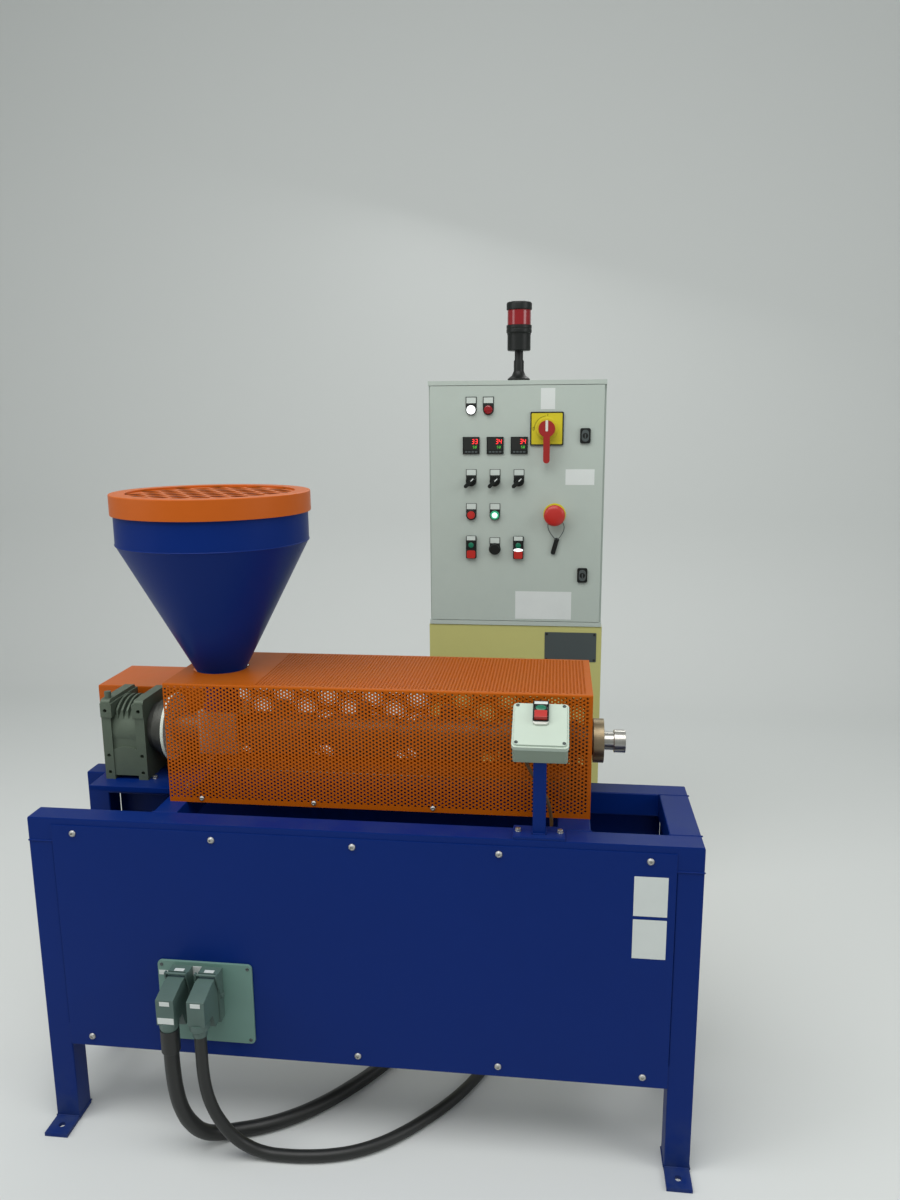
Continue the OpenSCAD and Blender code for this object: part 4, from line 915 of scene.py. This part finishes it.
for i, x in enumerate((left, right)):
    bodies += [onDoor("twinBody" + str(i), x, button["body"], 30, 66, 11, 0.8, 4),
               onDoor("twinKey" + str(i), x, button["upper"], 24, 22, 12.4, 0.8, 4)]
    greens.append(turnedOnDoor("twinGreen" + str(i), x, button["upper"], button["twinGreen"], 32))
    reds.append(onDoor("twinRed" + str(i), x, button["lower"], 25, 23, 13.6, 0.8, 5))
ofDoor(join("twinBodies", bodies), "blackPlastic", "black_plastic", "push_buttons")
ofDoor(join("twinGreens", greens), "greenPlastic", "green_plastic", "push_buttons")
ofDoor(join("twinReds", reds), "redPlastic", "red_plastic", "push_buttons")
strip = turned("twinLamp", (0, 0, 0), button["twinLamp"], "Z", 40)
strip.data.transform(shift(at(right, face, button["strip"])) @ turnTo["-Y"]
                     @ Matrix.Diagonal((1, 0.36, 1, 1)))
ofDoor(strip, "litWhite", "ivory_plastic", "push_buttons")
ofDoor(onDoor("twinLampDark", left, button["strip"], 26, 2, 12, 0.3), "glandPlastic", "black_plastic")
print("buttons made")

# controllers: window, digits and keys
segments = {0: "abcdef", 1: "bc", 3: "abcdg", 4: "bcfg", 5: "acdfg", 8: "abcdefg"}
segmentPlace = {"a": (0, 1, 0), "g": (0, 0, 0), "d": (0, -1, 0), "f": (-1, 0.5, 1), "b": (1, 0.5, 1),
                "e": (-1, -0.5, 1), "c": (1, -0.5, 1)}
readings = ((33, left), (34, middle), (34, right))
controller = {"window": (41, 33, 0.5, 0.3, 1.5, face - 5.8), "windowUp": 4, "keys": 4, "keyStep": 9.4,
              "keyLeft": 14, "keyLow": 18, "key": (7, 4.4, 1.2, 0.4, 1.2, face - 5.9),
              "red": (5.5, 9.5, 11, (5.6, 12, 1.5)), "green": (7.5, 6, -4.5, (3.2, 6, 0.9))}


def digit(number, x, z, wide, high, thick):
    made = []
    for letter in segments[number]:
        sideways, up, standing = segmentPlace[letter]
        bar = (thick, high / 2 - thick * 0.5) if standing else (wide - thick * 0.5, thick)
        made.append(onDoor("bar", x + sideways * wide / 2 + up * high * 0.04, z + up * high / 2, *bar, 0.4,
                           0.1, 0, face - 6.1))
    return made


def figure(colour, number, x, place):
    first, step, up, form = controller[colour]
    return digit(number, x + first + place * step, controllerZ + up, *form)


controllerZ = door["controllers"]
redBars, greenBars, keys, windows = [], [], [], []
for reading, x in readings:
    windows.append(onDoor("window", x, controllerZ + controller["windowUp"], *controller["window"]))
    for i, letter in enumerate(str(reading)):
        redBars += figure("red", int(letter), x, i)
        greenBars += figure("green", 8 if i else 5, x, i)
    for i in range(controller["keys"]):
        keyX = x - controller["keyLeft"] + i * controller["keyStep"]
        keys.append(onDoor("controllerKey", keyX, controllerZ - controller["keyLow"], *controller["key"]))
ofDoor(join("digitsRed", redBars), "digitRed", "red_plastic")
ofDoor(join("digitsGreen", greenBars), "digitGreen", "green_plastic")
ofDoor(join("controllerKeys", keys), "plateGrey", "black_plastic")
ofDoor(join("controllerWindows", windows), "glandPlastic", "black_plastic")
print("controllers made")

# selectors: a white pointer on each short end
selector = {"proud": 19.2, "turn": 45, "out": 5.5, "wide": 2.6, "long": 11}
for i, x in enumerate(door["columns"]):
    pointerAndHighlight = onDoor("selectorPointer" + str(i + 1), 0, 0, selector["wide"], selector["long"], 0.5, 0.2)
    pointerAndHighlight.data.transform(shift(at(x, legendFace - selector["proud"], door["selectors"]))
                           @ turnBy(selector["turn"], "Y") @ shift((0, 0, selector["out"] * mm))
                           @ shift(-at(0, face, 0)))
    finish(pointerAndHighlight, "stickerFilm", "selector_" + str(i + 1), "ivory_plastic")

# locks: split line and key slot
lock = {"x": 1123, "rows": (1424, 1029), "proud": 7}
lockParts = []
for z in lock["rows"]:
    lockParts += [onDoor("lockFlap", lock["x"], z, 20, 33, 1.6, 0.7, 9.8, face - lock["proud"]),
                  onDoor("lockKey", lock["x"], z - 1, 3, 12, 3.4, 0.5, 1.2, face - lock["proud"])]
ofDoor(join("lockDetails", lockParts), "plateGrey", "black_plastic")

# main switch: dark rim, arc of the scale, the numbers, and an ivory bar on the handle that is a painted
# highlight
switch = {"x": 1016, "z": 1444, "rim": 93, "opening": 86, "proud": 5.6, "plate": 5, "gap": 4,
          "scale": [(34.5, 0), (35.3, 0), (35.3, 0.4), (34.5, 0.4), (34.5, 0)],
          "numbers": ((1, 1016, 1482), (0, 979, 1444)), "number": (4, 7.5, 1.1)}
switchX, switchZ = switch["x"], switch["z"]
rim = onDoor("switchRim", switchX, switchZ, switch["rim"], switch["rim"], switch["proud"], 0, 4)
opening = onDoor("switchOpening", switchX, switchZ, switch["opening"], switch["opening"], 12, 0, 3, face + 3)
ofDoor(soften(cutAway(rim, opening), 0.4), "blackPlastic", "black_plastic")
scale = turned("switchScale", at(switchX, face - switch["plate"], switchZ), switch["scale"], "-Y", 64)
scaleEnd = at(switchX - switch["gap"], 0, switchZ + switch["gap"])
pick(edit(scale), "faces", lambda f: f.calc_center_median().x > scaleEnd.x
     or f.calc_center_median().z < scaleEnd.z)
bpy.ops.mesh.delete(type="FACE")
leave()
marks = [scale]
for number, x, z in switch["numbers"]:
    bars = digit(number, x, z, *switch["number"])
    for bar in bars:
        bar.data.transform(shift((0, mm, 0)))
    marks += bars
ofDoor(join("switchMarks", marks), "blackPlastic", "black_plastic")
# the ivory bar along the handle is a painted highlight of the knob's gloss
pointerAndHighlight = onDoor("switchPointer", switchX, switchZ + 8, 7, 30, 1.0, 0.5, 2, face - 35)
finish(pointerAndHighlight, "ivoryPlastic", "main_switch", "ivory_plastic")

# emergency stop: a domed mushroom with a turned edge
stop = {"x": 1041, "z": 1203, "stem": [(0, 2), (8, 2), (8, 25), (0, 25)],
        "mushroom": [(0, 24.6), (23, 24.6), (28.5, 26.8), (30, 30), (29.5, 34), (26, 37.4), (19, 39.4),
                     (10, 40.5), (0, 40.8)]}
stopHead = join("stopHead", [turnedOnDoor("stopMushroom", stop["x"], stop["z"], stop["mushroom"], 64, 0, 60),
                             turnedOnDoor("stopStem", stop["x"], stop["z"], stop["stem"], 32, 0.4)])
finish(stopHead, "redPlastic", "emergency_stop", "red_plastic", "emergency_stop")

# fob on two thin wires from the stop's collar
fobRoutes = ([(1026, 1004, 1190), (1023, 1005, 1168), (1035, 1008, 1144), (1047, 1010, 1131)],
             [(1060, 1004, 1190), (1069, 1005, 1168), (1060, 1008, 1144), (1050, 1010, 1131)])
wires = []
for i, route in enumerate(fobRoutes):
    hold(drawCurve("fobWire" + str(i), route, 2.2, 3))
    bpy.ops.object.convert(target="MESH")
    wires.append(bpy.context.object)
ofDoor(join("fobWires", wires), "plateGrey", "black_plastic")
fob = flat("keyFob", (-6.5, -46, 0), (13, 48, 7), 4, 1.2)
fob.data.transform(shift(at(1049, face - 1, 1134)) @ turnBy(15, "Y") @ turnTo["-Y"])
ofDoor(fob, "blackPlastic", "black_plastic")

# blank stickers and the blank nameplate: x, z, width and height
stickers = {"stickerTop": (1018, 1526, 40, 58), "stickerSide": (1110.5, 1309, 81, 44),
            "stickerLow": (1012, 938, 162, 82)}
panelSheets = {"stickerPanel0": (1235.5, 593.5, 63, 81), "stickerPanel1": (1235.5, 505.5, 63, 81)}
nameplate = {"form": (1093, 814, 150, 88), "face": 1020, "rivetX": (1024, 1162), "rivetZ": (776, 852)}
ofDoor(join("doorStickers", [onDoor(name, *form, 0.4, 0.15) for name, form in stickers.items()]),
       "stickerFilm", "ivory_plastic")
panelFilms = [onDoor(name, *form, 0.4, 0.15, 0, panelScrews["front"]) for name, form in panelSheets.items()]
finish(join("panelStickers", panelFilms), "stickerFilm", "machine", "ivory_plastic")
plate = onDoor("nameplate", *nameplate["form"], 1, 0.3, 3, nameplate["face"])
finish(plate, "plateGrey", "machine", "dark_steel")
rivets = [(x, nameplate["face"] - 1, z) for x in nameplate["rivetX"] for z in nameplate["rivetZ"]]
finish(scatter("nameplateRivets", boxScrew, rivets, "-Y"), "glandPlastic", "machine", "black_plastic")
for model in (hexM6, buttonM8, buttonM6, boxScrew):
    drop(model)
print("door finished")


# beacon: stacked turned mouldings

beacon = {"place": (932, 1107, 1577), "ribs": 20, "rib": 0.35, "ribHigh": 1.85,
          "base": [(0, 0), (32, 0), (32, 7), (28, 10), (20, 16), (15.5, 26), (14.5, 30), (14.5, 56), (12, 60),
                   (12, 85), (31, 85), (33, 87), (33, 128), (34, 130), (34, 131.5), (33, 132), (36, 135),
                   (36, 144), (35.2, 144.6), (35.2, 146), (36, 146.6), (36, 155), (0, 155)],
          "cap": [(0, 197), (36, 197), (36, 214), (34, 217.5), (28, 220), (0, 221)]}
lensForm = [(0, 155), (33, 155), (33.6, 156.5), (33, 158)]
lensForm += [(33 + beacon["rib"] * (i % 2), 158 + i * beacon["ribHigh"]) for i in range(1, beacon["ribs"])]
lensForm += [(33, 195), (33.6, 196), (33, 197), (0, 197)]
for name, node, form, coat, edge, angle in (
        ("beaconBase", "beacon_base", beacon["base"], "blackPlastic", 0.5, 35),
        ("beaconCap", "beacon_cap", beacon["cap"], "blackPlastic", 0.5, 35),
        ("beaconLens", "beacon_lens", lensForm, "lensRed", 0, 60)):
    finish(turned(name, at(*beacon["place"]), form, "Z", 64, edge, angle), coat, bodyOf[node],
           nodeSlot[node], node)
print("beacon stacked")


# floor, lights and surroundings

stage = {"floor": (0.66, 0.68, 0.67), "wall": 3.2, "reach": 14.0, "high": 8.0, "cove": 0.9, "sky": 0.42,
         "air": (0.93, 0.97, 0.95, 1)}
floor = plane("floor")
mesh = edit(floor)
pickAll()
bpy.ops.transform.resize(value=(stage["reach"] * 2, stage["reach"] * 2, 1), center_override=(0, 0, 0))
bpy.ops.transform.translate(value=(0, stage["wall"] - stage["reach"], 0))
pick(mesh, "edges", lambda e: min(v.co.y for v in e.verts) > stage["wall"] - 0.1)
bpy.ops.mesh.extrude_region_move(TRANSFORM_OT_translate={"value": (0, 0, stage["high"])})
pick(mesh, "edges", lambda e: min(v.co.y for v in e.verts) > stage["wall"] - 0.1
     and max(v.co.z for v in e.verts) < 0.1)
bpy.ops.mesh.bevel(offset=stage["cove"], segments=16, affect="EDGES")
leave()
hold(floor)
bpy.ops.object.shade_smooth()
floor.data.materials.append(Coat("floorPaper", stage["floor"], 0.85).material)

lights = {
    "ceilingLamp": {"place": (-0.4, -1.6, 3.6), "aim": 0.6, "size": (3.2, 2.0), "power": 76},
    "leftLamp": {"place": (-3.4, -2.0, 2.4), "aim": 0.8, "size": (1.8, 1.8), "power": 27},
    "rightLamp": {"place": (3.6, -1.4, 2.6), "aim": 0.8, "size": (1.8, 1.8), "power": 36},
    "backLamp": {"place": (0.6, 2.4, 3.2), "aim": 1.0, "size": (2.4, 1.0), "power": 24},
}
for name, light in lights.items():
    data = bpy.data.lights.new(name, "AREA")
    data.shape = "RECTANGLE"
    data.size, data.size_y = light["size"]
    data.energy = light["power"]
    hung = bpy.data.objects.new(name, data)
    aimed = (Vector((0, 0, light["aim"])) - Vector(light["place"])).to_track_quat("-Z", "Y")
    hung.matrix_world = shift(light["place"]) @ aimed.to_matrix().to_4x4()
    bpy.context.collection.objects.link(hung)

world = bpy.data.worlds.new("paleRoom")
bpy.context.scene.world = world
world.use_nodes = True
world.node_tree.nodes["Background"].inputs["Color"].default_value = stage["air"]
world.node_tree.nodes["Background"].inputs["Strength"].default_value = stage["sky"]
bpy.context.scene.view_settings.view_transform = "Standard"
print("stage set")
